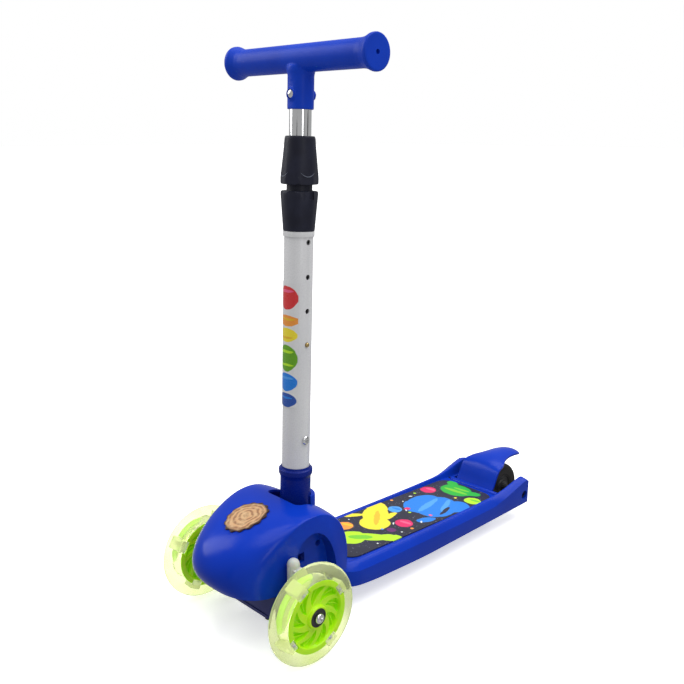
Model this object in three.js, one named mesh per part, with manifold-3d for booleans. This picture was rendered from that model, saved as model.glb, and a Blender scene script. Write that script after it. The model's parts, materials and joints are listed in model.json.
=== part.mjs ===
// Child's three-wheeled kick scooter with lean steering, telescopic handlebar and rear brake.
// Millimetres, +Z up. The scooter drives towards -Y and +X is the rider's left.
// Inside this file y = 0 is the front axle line. The exported group is moved so that the
// origin lies at the middle of the scooter's footprint, on the ground.
import * as THREE from 'three';
import { mergeVertices } from 'three/addons/utils/BufferGeometryUtils.js';
import Module from 'manifold-3d';

const wasm = await Module();
wasm.setup();

// ---------------------------------------------------------------- driving dimensions
const GAP = 0.3;                       // free gap between pieces that touch

const FRONT_WHEEL = { radius: 60, halfWidth: 11.8, x: 102.5, coreRadius: 43 };
const LED_ANGLES = [30, 120, 210, 300];
const REAR_WHEEL = { radius: 37.5, halfWidth: 25, y: 485 };
const BEARING = { outer: 11, inner: 4, width: 7 };
const AXLE_RADIUS = 4;

const RAKE = Math.atan(0.0309);        // the mast leans back by 1.8 degrees
const PIVOT = { y: 65, z: 85 };        // lean axis, along Y
const KINGPIN_X = 72;
const ARM_LENGTH = 36.5;               // steering arm, and drop of the finger: ratio 1
const ROD_Z = PIVOT.z - ARM_LENGTH;    // height of the tie rod's middle
const ROD_THICKNESS = 5;

const TUBE_RADIUS = 17;
const TUBE_WALL = 1.5;
const INNER_RADIUS = 12.5;
const HOLE_HEIGHTS = [344, 384, 424, 464];
const HOLE_RADIUS = 3.1;
const SCREW_Z = 226;
const TUBE_BOTTOM = 118.3;
const TUBE_TOP = 500;
const INNER_BOTTOM = 310;
const INNER_TOP = 654;

const BAR = { z: 665, radius: 15.3, endRadius: 19.3, halfLength: 115.5 };
const SOCKET = { bottom: 610.5, half: 14.2, corner: 12.5, boltZ: 626.5 };

const DECK = { halfWidth: 65, front: 95, rear: 495, wall: 3, forkInner: 45.5, slotFront: 435.5 };
const MAT = { halfWidth: 48.5, front: 115, rear: 429, corner: 20, thickness: 1.2 };
const CHASSIS = { halfWidth: 46, front: -12, bottom: 29, floor: 33, wallTop: 58 };
const COWL = { halfWidth: 62, wall: 3 };
const HINGE = { y: 440.5, z: 43 };     // fender hinge

const NOSE_Y = 41.6 - 115.3;           // foremost point: the cowl's nose
const TAIL_Y = 552;                    // rearmost point: the fender's tongue
const ORIGIN_Y = (NOSE_Y + TAIL_Y) / 2;

// ---------------------------------------------------------------- materials
function finish(color, roughness, metalness = 0, extra = {}) {
  return { color, roughness, metalness, ...extra };
}
const GLOSS_BLUE = finish(0x1230b8, 0.22);
const SATIN_BLUE = finish(0x1c3fd0, 0.45);
const NAVY = finish(0x0b1a6e, 0.4);
const BLACK_NAVY = finish(0x14162e, 0.5);
const WHITE_PAINT = finish(0xeef0f2, 0.3);
const LIME = finish(0x8cf50a, 0.35);
const CLEAR = finish(0xe4ecc0, 0.15, 0, { transparent: true, opacity: 0.45 });
const CHROME = finish(0xd8dade, 0.1, 1);
const STEEL = finish(0x9ea2a8, 0.35, 1);
const BRASS = finish(0xc9a55a, 0.3, 1);
const BLACK_RUBBER = finish(0x15130f, 0.7);
const NYLON = finish(0xe2e0d6, 0.5);
const WOOD = finish(0xb98050, 0.6);
const MAT_NAVY = finish(0x1b2038, 0.6);

// ---------------------------------------------------------------- solids
function solid(geometry) {
  const bare = geometry.index ? geometry.toNonIndexed() : geometry.clone();
  for (const name of Object.keys(bare.attributes)) {
    if (name !== 'position') bare.deleteAttribute(name);
  }
  const merged = mergeVertices(bare, 1e-4);
  const vertProperties = Float32Array.from(merged.attributes.position.array);
  const corners = merged.index.array;
  const kept = [];
  for (let i = 0; i < corners.length; i += 3) {
    const [a, b, c] = [corners[i], corners[i + 1], corners[i + 2]];
    if (a !== b && b !== c && c !== a) kept.push(a, b, c);
  }
  const make = (order) => new wasm.Manifold(
    new wasm.Mesh({ numProp: 3, vertProperties, triVerts: Uint32Array.from(order) }));
  const made = make(kept);
  return made.volume() < 0 ? make(kept.reverse()) : made;
}

function geometryOf(manifold) {
  const mesh = manifold.getMesh();
  const geometry = new THREE.BufferGeometry();
  geometry.setAttribute('position', new THREE.BufferAttribute(mesh.vertProperties, 3));
  geometry.setIndex(new THREE.BufferAttribute(mesh.triVerts, 1));
  const flat = geometry.toNonIndexed();
  flat.computeVertexNormals();
  return flat;
}

function join(first, ...others) {
  return others.reduce((whole, next) => whole.add(next), first);
}

function cut(first, ...others) {
  return others.reduce((whole, next) => whole.subtract(next), first);
}

function block([x0, x1], [y0, y1], [z0, z1]) {
  const geometry = new THREE.BoxGeometry(x1 - x0, y1 - y0, z1 - z0);
  geometry.translate((x0 + x1) / 2, (y0 + y1) / 2, (z0 + z1) / 2);
  return solid(geometry);
}

// A cylinder (or cone) from one point to another.
function rod(radius, from, to, sides = 12, endRadius = radius) {
  const start = new THREE.Vector3(...from);
  const end = new THREE.Vector3(...to);
  const along = end.clone().sub(start);
  const geometry = new THREE.CylinderGeometry(endRadius, radius, along.length(), sides);
  const turn = new THREE.Quaternion().setFromUnitVectors(
    new THREE.Vector3(0, 1, 0), along.clone().normalize());
  geometry.applyQuaternion(turn);
  const middle = start.add(end).multiplyScalar(0.5);
  geometry.translate(middle.x, middle.y, middle.z);
  return solid(geometry);
}

// A turned solid about Z from [radius, z] points, which close on themselves.
function turned(profile, sides = 24) {
  const points = [...profile, profile[0]].map(([r, z]) => new THREE.Vector2(r, z));
  const geometry = new THREE.LatheGeometry(points, sides);
  geometry.rotateX(Math.PI / 2);
  return solid(geometry);
}

function ring(inner, outer, z0, z1, sides = 24) {
  return turned([[inner, z0], [outer, z0], [outer, z1], [inner, z1]], sides);
}

// An outline in the YZ plane, pushed along X from x0 to x1.
function profileAcross(points, x0, x1) {
  const shape = new THREE.Shape(points.map(([y, z]) => new THREE.Vector2(y, z)));
  const geometry = new THREE.ExtrudeGeometry(shape, { depth: x1 - x0, bevelEnabled: false });
  const basis = new THREE.Matrix4().makeBasis(
    new THREE.Vector3(0, 1, 0), new THREE.Vector3(0, 0, 1), new THREE.Vector3(1, 0, 0));
  geometry.applyMatrix4(basis);
  geometry.translate(x0, 0, 0);
  return solid(geometry);
}

// An outline in the XY plane, pushed up from z0 to z1.
function plate(shape, z0, z1, curveSegments = 8) {
  const options = { depth: z1 - z0, bevelEnabled: false, curveSegments };
  const geometry = new THREE.ExtrudeGeometry(shape, options);
  geometry.translate(0, 0, z0);
  return solid(geometry);
}

function roundedRectangle(halfX, y0, y1, radius) {
  const shape = new THREE.Shape();
  const quarter = Math.PI / 2;
  shape.absarc(halfX - radius, y1 - radius, radius, 0, quarter);
  shape.absarc(-halfX + radius, y1 - radius, radius, quarter, 2 * quarter);
  shape.absarc(-halfX + radius, y0 + radius, radius, 2 * quarter, 3 * quarter);
  shape.absarc(halfX - radius, y0 + radius, radius, 3 * quarter, 4 * quarter);
  return shape;
}

// A box whose grid of points is moved by place(u, v, w), each from 0 to 1.
function formed(columns, rows, layers, place) {
  const geometry = new THREE.BoxGeometry(1, 1, 1, columns, rows, layers);
  const position = geometry.attributes.position;
  for (let i = 0; i < position.count; i += 1) {
    const [u, v, w] = [position.getX(i), position.getY(i), position.getZ(i)].map((t) => t + 0.5);
    position.setXYZ(i, ...place(u, v, w));
  }
  return solid(geometry);
}

// Height along a smooth line through [position, height] points.
function smoothLine(points) {
  const curve = new THREE.SplineCurve(points.map(([x, y]) => new THREE.Vector2(x, y)));
  const samples = curve.getPoints(200);
  return (x) => {
    const next = samples.findIndex((p) => p.x >= x);
    if (next <= 0) return next === 0 ? samples[0].y : samples[200].y;
    const [a, b] = [samples[next - 1], samples[next]];
    return a.y + ((b.y - a.y) * (x - a.x)) / (b.x - a.x);
  };
}

// The same solid in another place, moved by a matrix.
function placed(manifold, matrix) {
  return solid(geometryOf(manifold).applyMatrix4(matrix));
}

function mirrored(manifold) {
  return placed(manifold, new THREE.Matrix4().makeScale(-1, 1, 1));
}

function moved(manifold, x, y, z) {
  return placed(manifold, new THREE.Matrix4().makeTranslation(x, y, z));
}

function spun(manifold, degrees) {
  return placed(manifold, new THREE.Matrix4().makeRotationZ(THREE.MathUtils.degToRad(degrees)));
}

const model = new THREE.Group();

function add(parent, name, manifold, look) {
  const mesh = new THREE.Mesh(geometryOf(manifold), new THREE.MeshStandardMaterial(look));
  mesh.name = name;
  parent.add(mesh);
  return mesh;
}

function assembly(parent, x = 0, y = 0, z = 0) {
  const group = new THREE.Group();
  group.position.set(x, y, z);
  parent.add(group);
  return group;
}

// ---------------------------------------------------------------- deck
const RIM_WIDTH = 16;
const RIM_SLOPE = 12;                  // part of the rim that falls away outwards
const SCREW_PLACES = [[-34, -6], [34, -6], [-34, 80], [34, 80]];
const floorZ = (y) => 61 - (y - 100) * 0.0472;
const crownZ = smoothLine([[90, 64], [110, 62], [150, 60.2], [200, 58.4], [300, 55.4], [380, 53.9],
  [415, 53.8], [440, 55.8], [462, 60], [480, 63.4], [489, 64], [495, 61]]);
const rimDrop = smoothLine([[90, 7], [130, 10], [250, 10.5], [395, 10.5], [418, 8.5], [443, 6],
  [465, 4.5], [495, 3]]);
const bottomZ = smoothLine([[90, 33], [110, 32.5], [140, 29], [172, 26.8], [241, 23.5], [300, 23],
  [500, 23]]);
const cornerIn = smoothLine([[94, 14], [98, 8.5], [103, 4.6], [110, 1.6], [118, 0.2], [124, 0],
  [500, 0]]);

function deckTop(x, y, halfWidth) {
  const inset = halfWidth - Math.abs(x);
  const crown = crownZ(y);
  if (inset < RIM_SLOPE) {
    const t = inset / RIM_SLOPE;
    return crown - rimDrop(y) * (1 - Math.sin((t * Math.PI) / 2));
  }
  const side = THREE.MathUtils.smoothstep(RIM_WIDTH - inset, 0, RIM_WIDTH - RIM_SLOPE);
  const front = THREE.MathUtils.smoothstep(114 - y, 0, 9);
  return floorZ(y) + (crown - floorZ(y)) * Math.max(side, front);
}

function deckBody() {
  const insets = [0, 3, 7, RIM_SLOPE, RIM_WIDTH];
  const rows = [95, 99, 104, 109, 114.5, 140, 180, 240, 320, 390, 415, 435, 450, 465, 480, 489, 495];
  const columns = insets.length * 2;
  return formed(columns, rows.length - 1, 1, (u, v, w) => {
    const y = rows[Math.round(v * (rows.length - 1))];
    const halfWidth = DECK.halfWidth - cornerIn(y);
    const column = Math.round(u * columns);
    const fromEdge = Math.min(column, columns - column);
    const side = column < insets.length ? -1 : 1;
    const x = fromEdge === insets.length ? 0 : side * (halfWidth - insets[fromEdge]);
    return [x, y, w > 0.5 ? deckTop(x, y, halfWidth) : bottomZ(y)];
  });
}

function deckShell() {
  const pocketRows = [[98, 124], [127, 182], [185, 240], [243, 298], [301, 356], [359, 424]];
  const pocketColumns = [[-58, -21.5], [-18.5, 18.5], [21.5, 58]];
  const pockets = [];
  for (const [y0, y1] of pocketRows) {
    const shrink = y0 < 110 ? 12 : 0;
    const roof = (y) => floorZ(y) - DECK.wall;
    const outline = [[y0, 10], [y1, 10], [y1, roof(y1)], [y0, roof(y0)]];
    for (const [x0, x1] of pocketColumns) {
      const from = x0 < -30 ? x0 + shrink : x0;
      const to = x1 > 30 ? x1 - shrink : x1;
      pockets.push(profileAcross(outline, from, to));
    }
  }
  const armPockets = [1, -1].map((side) => {
    const [a, b] = [side * 49, side * 61.5].sort((p, q) => p - q);
    return block([a, b], [440, 470], [10, 42]);
  });
  const wheelSlot = block([-DECK.forkInner, DECK.forkInner], [DECK.slotFront, 520], [0, 120]);
  const { halfWidth: w, front, bottom, floor, wallTop } = CHASSIS;
  const tray = cut(
    block([-w, w], [front, DECK.front + 1], [bottom, wallTop]),
    block([-w + 4, w - 4], [front + 4, DECK.front - 4], [floor, 90]),
    block([-60, 60], [-13, 13], [floor, 90]),
    block([-60, 60], [25, 48], [40, 90]));
  const axleBore = rod(AXLE_RADIUS + GAP, [-80, REAR_WHEEL.y, REAR_WHEEL.radius],
    [80, REAR_WHEEL.y, REAR_WHEEL.radius]);
  const boltSeats = [1, -1].map((side) => rod(6.8, [side * 57, REAR_WHEEL.y, REAR_WHEEL.radius],
    [side * 80, REAR_WHEEL.y, REAR_WHEEL.radius]));
  const hingeBore = rod(2.5 + GAP, [-51, HINGE.y, HINGE.z], [51, HINGE.y, HINGE.z], 16);
  const chassisBores = SCREW_PLACES.map(([x, y]) => rod(2.5 + GAP, [x, y, 20], [x, y, 40], 12));
  return cut(join(deckBody(), tray), ...pockets, ...armPockets, wheelSlot, axleBore, ...boltSeats,
    hingeBore, ...chassisBores);
}

function deckMat() {
  const { halfWidth, front, rear, corner, thickness } = MAT;
  const outline = roundedRectangle(halfWidth, front, rear, corner);
  const options = { depth: thickness, bevelEnabled: false, curveSegments: 6 };
  const geometry = new THREE.ExtrudeGeometry(outline, options);
  const position = geometry.attributes.position;
  for (let i = 0; i < position.count; i += 1) {
    position.setZ(i, position.getZ(i) + floorZ(position.getY(i)) + GAP);
  }
  return solid(geometry);
}

// ---------------------------------------------------------------- cowl over the steering
// Each upright slice of the cowl is a superellipse that changes from side face to middle.
function cowlSlice(x, offset) {
  const reach = Math.min(1, Math.abs(x) / COWL.halfWidth);
  const k = Math.max(0, 1 - reach ** 2.1) ** (1 / 2.1);
  const mix = (side, middle) => side + (middle - side) * k;
  return {
    y: mix(40, 41.6), z: mix(80, 97.6), power: mix(2.2, 1.95), front: mix(56, 115.3) + offset,
    rear: mix(56, 62) + offset, height: mix(70, 55.2) + offset,
  };
}

function cowlForm(offset) {
  const geometry = new THREE.CylinderGeometry(1, 1, 1, 24, 8);
  const position = geometry.attributes.position;
  for (let i = 0; i < position.count; i += 1) {
    const [a, h, b] = [position.getX(i), position.getY(i), position.getZ(i)];
    const station = Math.sin(h * Math.PI) * COWL.halfWidth;
    const slice = cowlSlice(station, offset);
    const x = station * (1 + offset / COWL.halfWidth);
    const curve = (t) => Math.sign(t) * Math.abs(t) ** (2 / slice.power);
    const y = slice.y + (a < 0 ? slice.front : slice.rear) * curve(a);
    position.setXYZ(i, x, y, slice.z + slice.height * curve(b));
  }
  return solid(geometry);
}

const cowlOuter = cowlForm(0);

function cowlRim(y) {
  return 76 - (y + 70) * 0.085;
}

function frontCowl() {
  const rim = [[-200, -200], [200, -200], [200, cowlRim(200)], [-200, cowlRim(-200)]];
  const below = profileAcross(rim, -100, 100);
  const inner = cowlForm(-COWL.wall).intersect(block([-43, 43], [-200, 200], [0, 200]));
  const archOutline = new THREE.Shape();
  archOutline.absellipse(40, 60, 39, 69, 0, Math.PI * 2);
  const archPoints = archOutline.getPoints(16).slice(0, 16).map((p) => [p.x, p.y]);
  const recess = [profileAcross(archPoints, 46, 90), profileAcross(archPoints, -90, -46)];
  const slot = plate(roundedRectangle(30, 44, 96, 8), 100, 200, 2);
  const windows = [1, -1].map((side) => rod(4, [side * 40, 62, 104], [side * 60, 62, 104], 8));
  const ports = [1, -1].map((side) => {
    const [a, b] = [side * 40, side * 60].sort((p, q) => p - q);
    return block([a, b], [30, 40], [88, 100]);
  });
  const postRoom = block([-15, 15], [76, 88.8], [50, 82]);
  const deck = deckBody();
  const deckRoom = join(moved(deck, 0, 0, GAP), moved(deck, 0, -GAP, GAP));
  return cut(cowlOuter, below, inner, ...recess, slot, ...windows, ...ports, postRoom,
    deckRoom);
}

function cowlBadge() {
  const centre = [0, -7.5, 146];
  const lean = 0.225;
  const normal = [0, -Math.sin(lean), Math.cos(lean)];
  const from = centre.map((c, i) => c - normal[i] * 20);
  const to = centre.map((c, i) => c + normal[i] * 20);
  return cut(cowlForm(1.7).intersect(rod(24.5, from, to, 32)), cowlForm(GAP));
}

// ---------------------------------------------------------------- steering gear
function crossmember() {
  const eyes = [1, -1].map((side) => rod(9, [side * KINGPIN_X, 0, 46.5],
    [side * KINGPIN_X, 0, 80.5]));
  const arms = [1, -1].map((side) => {
    const [a, b] = [side * 40, side * KINGPIN_X].sort((p, q) => p - q);
    return block([a, b], [-8, 8], [48, 62]);
  });
  const bores = [1, -1].map((side) => rod(AXLE_RADIUS + GAP, [side * KINGPIN_X, 0, 40],
    [side * KINGPIN_X, 0, 90]));
  const lightening = [-28, 0, 28].map((x) => block([x - 11, x + 11], [-8, 8], [38, 80]));
  const screwBores = SCREW_PLACES.slice(0, 2).map(([x, y]) => rod(2.5 + GAP, [x, y, 30], [x, y, 47]));
  const beam = block([-55, 55], [-11, 11], [CHASSIS.floor + GAP, 62]);
  return cut(join(cut(beam, ...lightening), ...arms, ...eyes), ...bores, ...screwBores);
}

function pivotBracket() {
  const { y, z } = PIVOT;
  const base = block([-40, 40], [20, 88], [CHASSIS.floor + GAP, 36.3]);
  const posts = [[20, 26], [82, 88]].map(([y0, y1]) => join(
    block([-13, 13], [y0, y1], [34, z]), rod(13, [0, y0, z], [0, y1, z], 16)));
  const bore = rod(AXLE_RADIUS + GAP, [0, 0, z], [0, 120, z]);
  const screwBores = SCREW_PLACES.slice(2).map(([x, at]) => rod(2.5 + GAP, [x, at, 30], [x, at, 40]));
  return cut(join(base, ...posts), bore, ...screwBores);
}

function centringSpring(side) {
  const [x, bottom, top] = [side * 30, 37.7, 68.3];
  class Helix extends THREE.Curve {
    getPoint(t) {
      const angle = t * 5 * Math.PI * 2;
      return new THREE.Vector3(x + 6 * Math.cos(angle), PIVOT.y + 6 * Math.sin(angle),
        bottom + (top - bottom) * t);
    }
  }
  const wire = new THREE.Shape();
  wire.absarc(0, 0, 1, 0, Math.PI * 2);
  const options = { steps: 40, curveSegments: 2, extrudePath: new Helix() };
  return solid(new THREE.ExtrudeGeometry(wire, options));
}

function tieRod() {
  const [z0, z1] = [ROD_Z - ROD_THICKNESS / 2, ROD_Z + ROD_THICKNESS / 2];
  const bar = plate(roundedRectangle(80, ARM_LENGTH - 6.5, ARM_LENGTH + 6.5, 6.4), z0, z1, 2);
  const tab = plate(roundedRectangle(13, ARM_LENGTH, PIVOT.y + 12, 6), z0, z1, 2);
  const holes = [1, -1].map((side) => rod(4.8, [side * KINGPIN_X, ARM_LENGTH, 30],
    [side * KINGPIN_X, ARM_LENGTH, 70]));
  const fingerHole = rod(6.4, [0, PIVOT.y, 30], [0, PIVOT.y, 70]);
  return cut(join(bar, tab), ...holes, fingerHole);
}

// Left knuckle, with the kingpin on the origin's Z axis.
function knuckle() {
  const upper = join(rod(7.5, [0, 0, 81], [0, 0, 110]), dome(7.5, 110, 7));
  const lower = rod(9, [0, 0, 31.2], [0, 0, 46]);
  const face = profileAcross([[-12, 31.2], [12, 31.2], [13, 60], [7, 100], [4, 108], [-4, 108],
    [-7, 100], [-13, 60]], 10.2, 16.4);
  const webs = [block([2, 12], [-6, 6], [81, 106]), block([2, 12], [-8, 8], [31.2, 46])];
  const boss = rod(6, [14, 0, FRONT_WHEEL.radius],
    [FRONT_WHEEL.x - 11.8 - KINGPIN_X, 0, FRONT_WHEEL.radius]);
  const arm = plate(roundedRectangle(7, -2, ARM_LENGTH + 7, 6.9), 31.2, 39, 2);
  const pin = rod(3.5, [0, ARM_LENGTH, 38], [0, ARM_LENGTH, 55], 12);
  const kingpinBore = rod(AXLE_RADIUS + GAP, [0, 0, 20], [0, 0, 104.5]);
  const axleBore = rod(AXLE_RADIUS + GAP, [9, 0, FRONT_WHEEL.radius], [40, 0, FRONT_WHEEL.radius]);
  return cut(join(upper, lower, face, ...webs, boss, arm, pin), kingpinBore, axleBore);
}

function dome(radius, z, height, sides = 16) {
  const points = [[0, z - 1], [radius, z - 1]];
  for (let step = 0; step <= 3; step += 1) {
    const angle = (step / 3) * (Math.PI / 2);
    points.push([step < 3 ? radius * Math.cos(angle) : 0, z + height * Math.sin(angle)]);
  }
  return turned(points, sides);
}

function kingpin() {
  return join(rod(7, [0, 0, 26], [0, 0, 30.9], 6), rod(AXLE_RADIUS, [0, 0, 30], [0, 0, 104]));
}

function wheelAxle() {
  const face = FRONT_WHEEL.halfWidth + GAP;
  const shaft = rod(AXLE_RADIUS - 0.2, [-20, 0, 0], [face + 1, 0, 0]);
  const head = rod(6, [face, 0, 0], [face + 3.4, 0, 0], 16, 4.6);
  const recess = rod(2.3, [face + 1.2, 0, 0], [face + 5, 0, 0], 6);
  return cut(join(shaft, head), recess);
}

// ---------------------------------------------------------------- front wheels (axis X)
function onAxle(manifold) {
  return placed(manifold, new THREE.Matrix4().makeRotationY(Math.PI / 2));
}

function frontTyre() {
  const { radius, halfWidth, coreRadius } = FRONT_WHEEL;
  const inner = coreRadius + GAP;
  const side = [[inner, 10], [49, halfWidth], [55.5, 9.8], [59.2, 5.2], [radius, 0]];
  const profile = [...side, ...side.slice(0, -1).reverse().map(([r, z]) => [r, -z])];
  return onAxle(turned(profile, 24));
}

function swirlPocket() {
  const shape = new THREE.Shape();
  shape.moveTo(17.5, -1.6);
  shape.quadraticCurveTo(22, 5.2, 33.2, 6.2);
  shape.lineTo(33.2, -3.4);
  shape.quadraticCurveTo(27, -5.8, 17.5, -1.6);
  return plate(shape, -20, 20, 3);
}

function frontCore() {
  const r = FRONT_WHEEL.coreRadius;
  const upper = [[13.6, 11.5], [14.4, 7], [34.4, 7], [36.4, 10.2], [r, 10.2]];
  const lower = upper.slice().reverse().map(([a, z]) => [a, -z]);
  const profile = [[0, 11.5], ...upper, ...lower, [0, -11.5]];
  const pockets = [];
  for (let i = 0; i < 9; i += 1) pockets.push(spun(swirlPocket(), i * 40));
  const seats = [rod(BEARING.outer + GAP, [0, 0, 4.2], [0, 0, 20], 16),
    rod(BEARING.outer + GAP, [0, 0, -20], [0, 0, -4.2], 16)];
  const bore = rod(9.2, [0, 0, -10], [0, 0, 10]);
  const groove = ring(39.8, 50, -3.3, 3.3, 24);
  const notches = LED_ANGLES.map((angle) => spun(block([36.7, 50], [-8.2, 8.2], [-20, 20]), angle));
  return onAxle(cut(turned(profile, 24), ...pockets, ...seats, bore, groove, ...notches));
}

function ledRing() {
  const strip = ring(40.3, 42.9, -3, 3, 24);
  const pods = LED_ANGLES.map((angle) => spun(block([37, 44.5], [-7.9, 7.9], [-9.8, 9.8]), angle));
  return onAxle(join(strip, ...pods).intersect(ring(30, 42.9, -20, 20, 24)));
}

function bearing() {
  const { outer, inner, width } = BEARING;
  return onAxle(ring(inner + 0.2, outer, 0, width, 14));
}

function magnetSleeve() {
  return onAxle(ring(AXLE_RADIUS + GAP, 8.6, -3.9, 3.9, 12));
}

// ---------------------------------------------------------------- rear wheel and brake
function rearTyre() {
  const { radius, halfWidth } = REAR_WHEEL;
  const side = [[20.3, halfWidth], [31, halfWidth], [35.8, halfWidth - 2.6], [radius, halfWidth - 8]];
  const profile = [...side, ...side.slice().reverse().map(([r, z]) => [r, -z])];
  return onAxle(turned(profile, 24));
}

function rearHub() {
  const w = REAR_WHEEL.halfWidth;
  const profile = [[BEARING.outer + GAP, w], [20, w], [20, -w], [BEARING.outer + GAP, -w],
    [BEARING.outer + GAP, -w + 7.3], [9.2, -w + 7.3], [9.2, w - 7.3], [BEARING.outer + GAP, w - 7.3]];
  return onAxle(turned(profile, 16));
}

function rearAxleBolt() {
  const shaft = rod(AXLE_RADIUS - 0.1, [-62, 0, 0], [57.5, 0, 0]);
  const head = rod(6.2, [57.3, 0, 0], [62, 0, 0], 6);
  return cut(join(shaft, head), rod(2.4, [59, 0, 0], [70, 0, 0], 6));
}

const fenderTop = smoothLine([[439, 44.5], [441, 47.5], [446, 56], [451, 66], [458, 76], [468, 82.6],
  [485, 86.2], [505, 87.2], [525, 86], [540, 82.6], [TAIL_Y, 76.5]]);
const fenderHalf = smoothLine([[439, 34], [452, 34], [468, 32.5], [478, 29], [490, 23.5], [505, 20],
  [525, 18.5], [536, 17.4], [543, 14.5], [548, 10.4], [TAIL_Y, 3]]);

function brakeFender() {
  const stations = [439.5, 443, 447, 451, 455, 460, 468, 478, 490, 505, 525, 538, 546, 550, TAIL_Y];
  const columns = [-1, -0.55, 0, 0.55, 1];
  const thickness = 3;
  const shell = formed(columns.length - 1, stations.length - 1, 1, (u, v, w) => {
    const y = stations[Math.round(v * (stations.length - 1))];
    const c = columns[Math.round(u * (columns.length - 1))];
    const rise = (fenderTop(y + 0.5) - fenderTop(y - 0.5));
    const length = Math.hypot(1, rise);
    const sag = (y > 456 ? Math.min(1, (y - 456) / 14) : 0) * 4 * c * c;
    const depth = w > 0.5 ? 0 : thickness;
    return [c * fenderHalf(y), y + (depth * rise) / length, fenderTop(y) - sag - depth / length];
  });
  const barrel = rod(4, [-34, HINGE.y, HINGE.z], [34, HINGE.y, HINGE.z]);
  const pad = cut(block([-14, 14], [476, 492], [70, 84.5]),
    rod(REAR_WHEEL.radius + 2.6, [-30, REAR_WHEEL.y, REAR_WHEEL.radius],
      [30, REAR_WHEEL.y, REAR_WHEEL.radius], 48));
  const bore = rod(2.5 + GAP, [-50, HINGE.y, HINGE.z], [50, HINGE.y, HINGE.z], 16);
  const springGap = block([-9, 9], [430, 446.6], [30, 48.3]);
  return cut(join(shell, barrel, pad), bore, springGap);
}

function fenderSpring() {
  class Coil extends THREE.Curve {
    getPoint(t) {
      const angle = t * 3 * Math.PI * 2;
      return new THREE.Vector3(-6 + 12 * t, HINGE.y + 3.9 * Math.cos(angle),
        HINGE.z + 3.9 * Math.sin(angle));
    }
  }
  const wire = new THREE.Shape();
  wire.absarc(0, 0, 0.7, 0, Math.PI * 2);
  const options = { steps: 24, curveSegments: 2, extrudePath: new Coil() };
  return solid(new THREE.ExtrudeGeometry(wire, options));
}

// ---------------------------------------------------------------- column
// The column group stands on the lean pivot; the mast group inside it leans back by RAKE.
// Mast pieces use m(z), the distance along the mast of a point at height z.
const m = (z) => z - PIVOT.z;

function columnSocket() {
  const hub = rod(11, [0, -36, 0], [0, 16.5, 0]);
  const wings = block([-38, 38], [-9, 9], [-15.3, -7]);
  const neck = block([-14, 14], [-17, 16], [-10, 34]);
  const finger = rod(4, [0, 0, -48], [0, 0, -8], 12);
  const tilt = (manifold) => placed(manifold, new THREE.Matrix4().makeRotationX(-RAKE));
  const spigot = cut(rod(TUBE_RADIUS - TUBE_WALL - GAP, [0, 0, m(110)], [0, 0, m(245)], 24),
    rod(10, [0, 0, m(150)], [0, 0, m(260)]), rod(2.5, [3, 0, m(SCREW_Z)], [30, 0, m(SCREW_Z)], 12));
  const seat = rod(19.3, [0, 0, m(100)], [0, 0, m(TUBE_BOTTOM) - GAP], 24);
  const shield = cut(rod(58, [0, -19, 0], [0, 1.5, 0], 32), rod(55, [0, -60, 0], [0, 60, 0], 32),
    block([-80, 80], [-60, 60], [-80, 45]), rod(22, [0, 0, 20], [0, 0, 80]));
  const shieldWeb = cut(block([-36, 36], [-19, -15], [20, 50]), rod(22, [0, 0, 0], [0, 0, 80]));
  const hump = cut(rod(25, [0, 1.5, 20], [0, 1.5, 66.7], 24),
    block([-60, 60], [-60, 10], [0, 90]), block([19.5, 60], [-60, 60], [0, 90]),
    block([-60, -19.5], [-60, 60], [0, 90]));
  const tubeClear = tilt(rod(19.4, [0, 0, m(TUBE_BOTTOM) - GAP], [0, 0, m(200)], 24));
  const pivotBore = rod(AXLE_RADIUS + GAP, [0, -60, 0], [0, 60, 0]);
  const body = cut(join(neck, shield, shieldWeb, shieldBridge(), hump, tilt(seat)), tubeClear);
  return cut(join(hub, wings, finger, body, tilt(spigot)), pivotBore);
}

// Two ribs that carry the slot shield from the socket's neck.
function shieldBridge() {
  return join(block([-30, 30], [-17, -12], [22, 34]), block([-36, 36], [-19, -12], [26, 34]));
}

function outerTube() {
  const inner = TUBE_RADIUS - TUBE_WALL;
  const holes = HOLE_HEIGHTS.map((z) => rod(HOLE_RADIUS, [5, 0, m(z)], [30, 0, m(z)], 12));
  const screwBore = rod(2.8, [5, 0, m(SCREW_Z)], [30, 0, m(SCREW_Z)], 12);
  return cut(ring(inner, TUBE_RADIUS, m(TUBE_BOTTOM), m(TUBE_TOP), 24), ...holes, screwBore);
}

function columnCollar() {
  const r = TUBE_RADIUS + GAP;
  return turned([[r, m(147)], [18.8, m(147)], [18.8, m(178)], [20.8, m(180.5)], [20.8, m(187)],
    [18, m(188)], [17.8, m(190.5)], [r, m(190.5)]], 24);
}

function tubeDecal() {
  const sheet = ring(TUBE_RADIUS + GAP, TUBE_RADIUS + 0.7, m(268), m(418), 40);
  const wedge = new THREE.Shape();
  wedge.moveTo(0, 0);
  wedge.lineTo(-60, -50);
  wedge.lineTo(60, -50);
  return sheet.intersect(plate(wedge, m(260), m(430)));
}

function clampBase() {
  const bore = INNER_RADIUS + GAP;
  const tubeBore = TUBE_RADIUS + GAP;
  const made = turned([[tubeBore, m(476.4)], [18.6, m(476.4)], [21.7, m(519.5)], [21.2, m(521.5)],
    [14.8, m(521.5)], [14.8, m(565)], [bore, m(565)], [bore, m(TUBE_TOP + 3)],
    [tubeBore, m(TUBE_TOP + 3)]], 24);
  const slits = [0, 90].map((angle) => spun(block([-30, 30], [-0.8, 0.8], [m(536), m(570)]), angle));
  const lug = block([19.5, 30], [-4, 4], [m(513), m(523)]);
  return cut(made, ...slits, lug);
}

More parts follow.
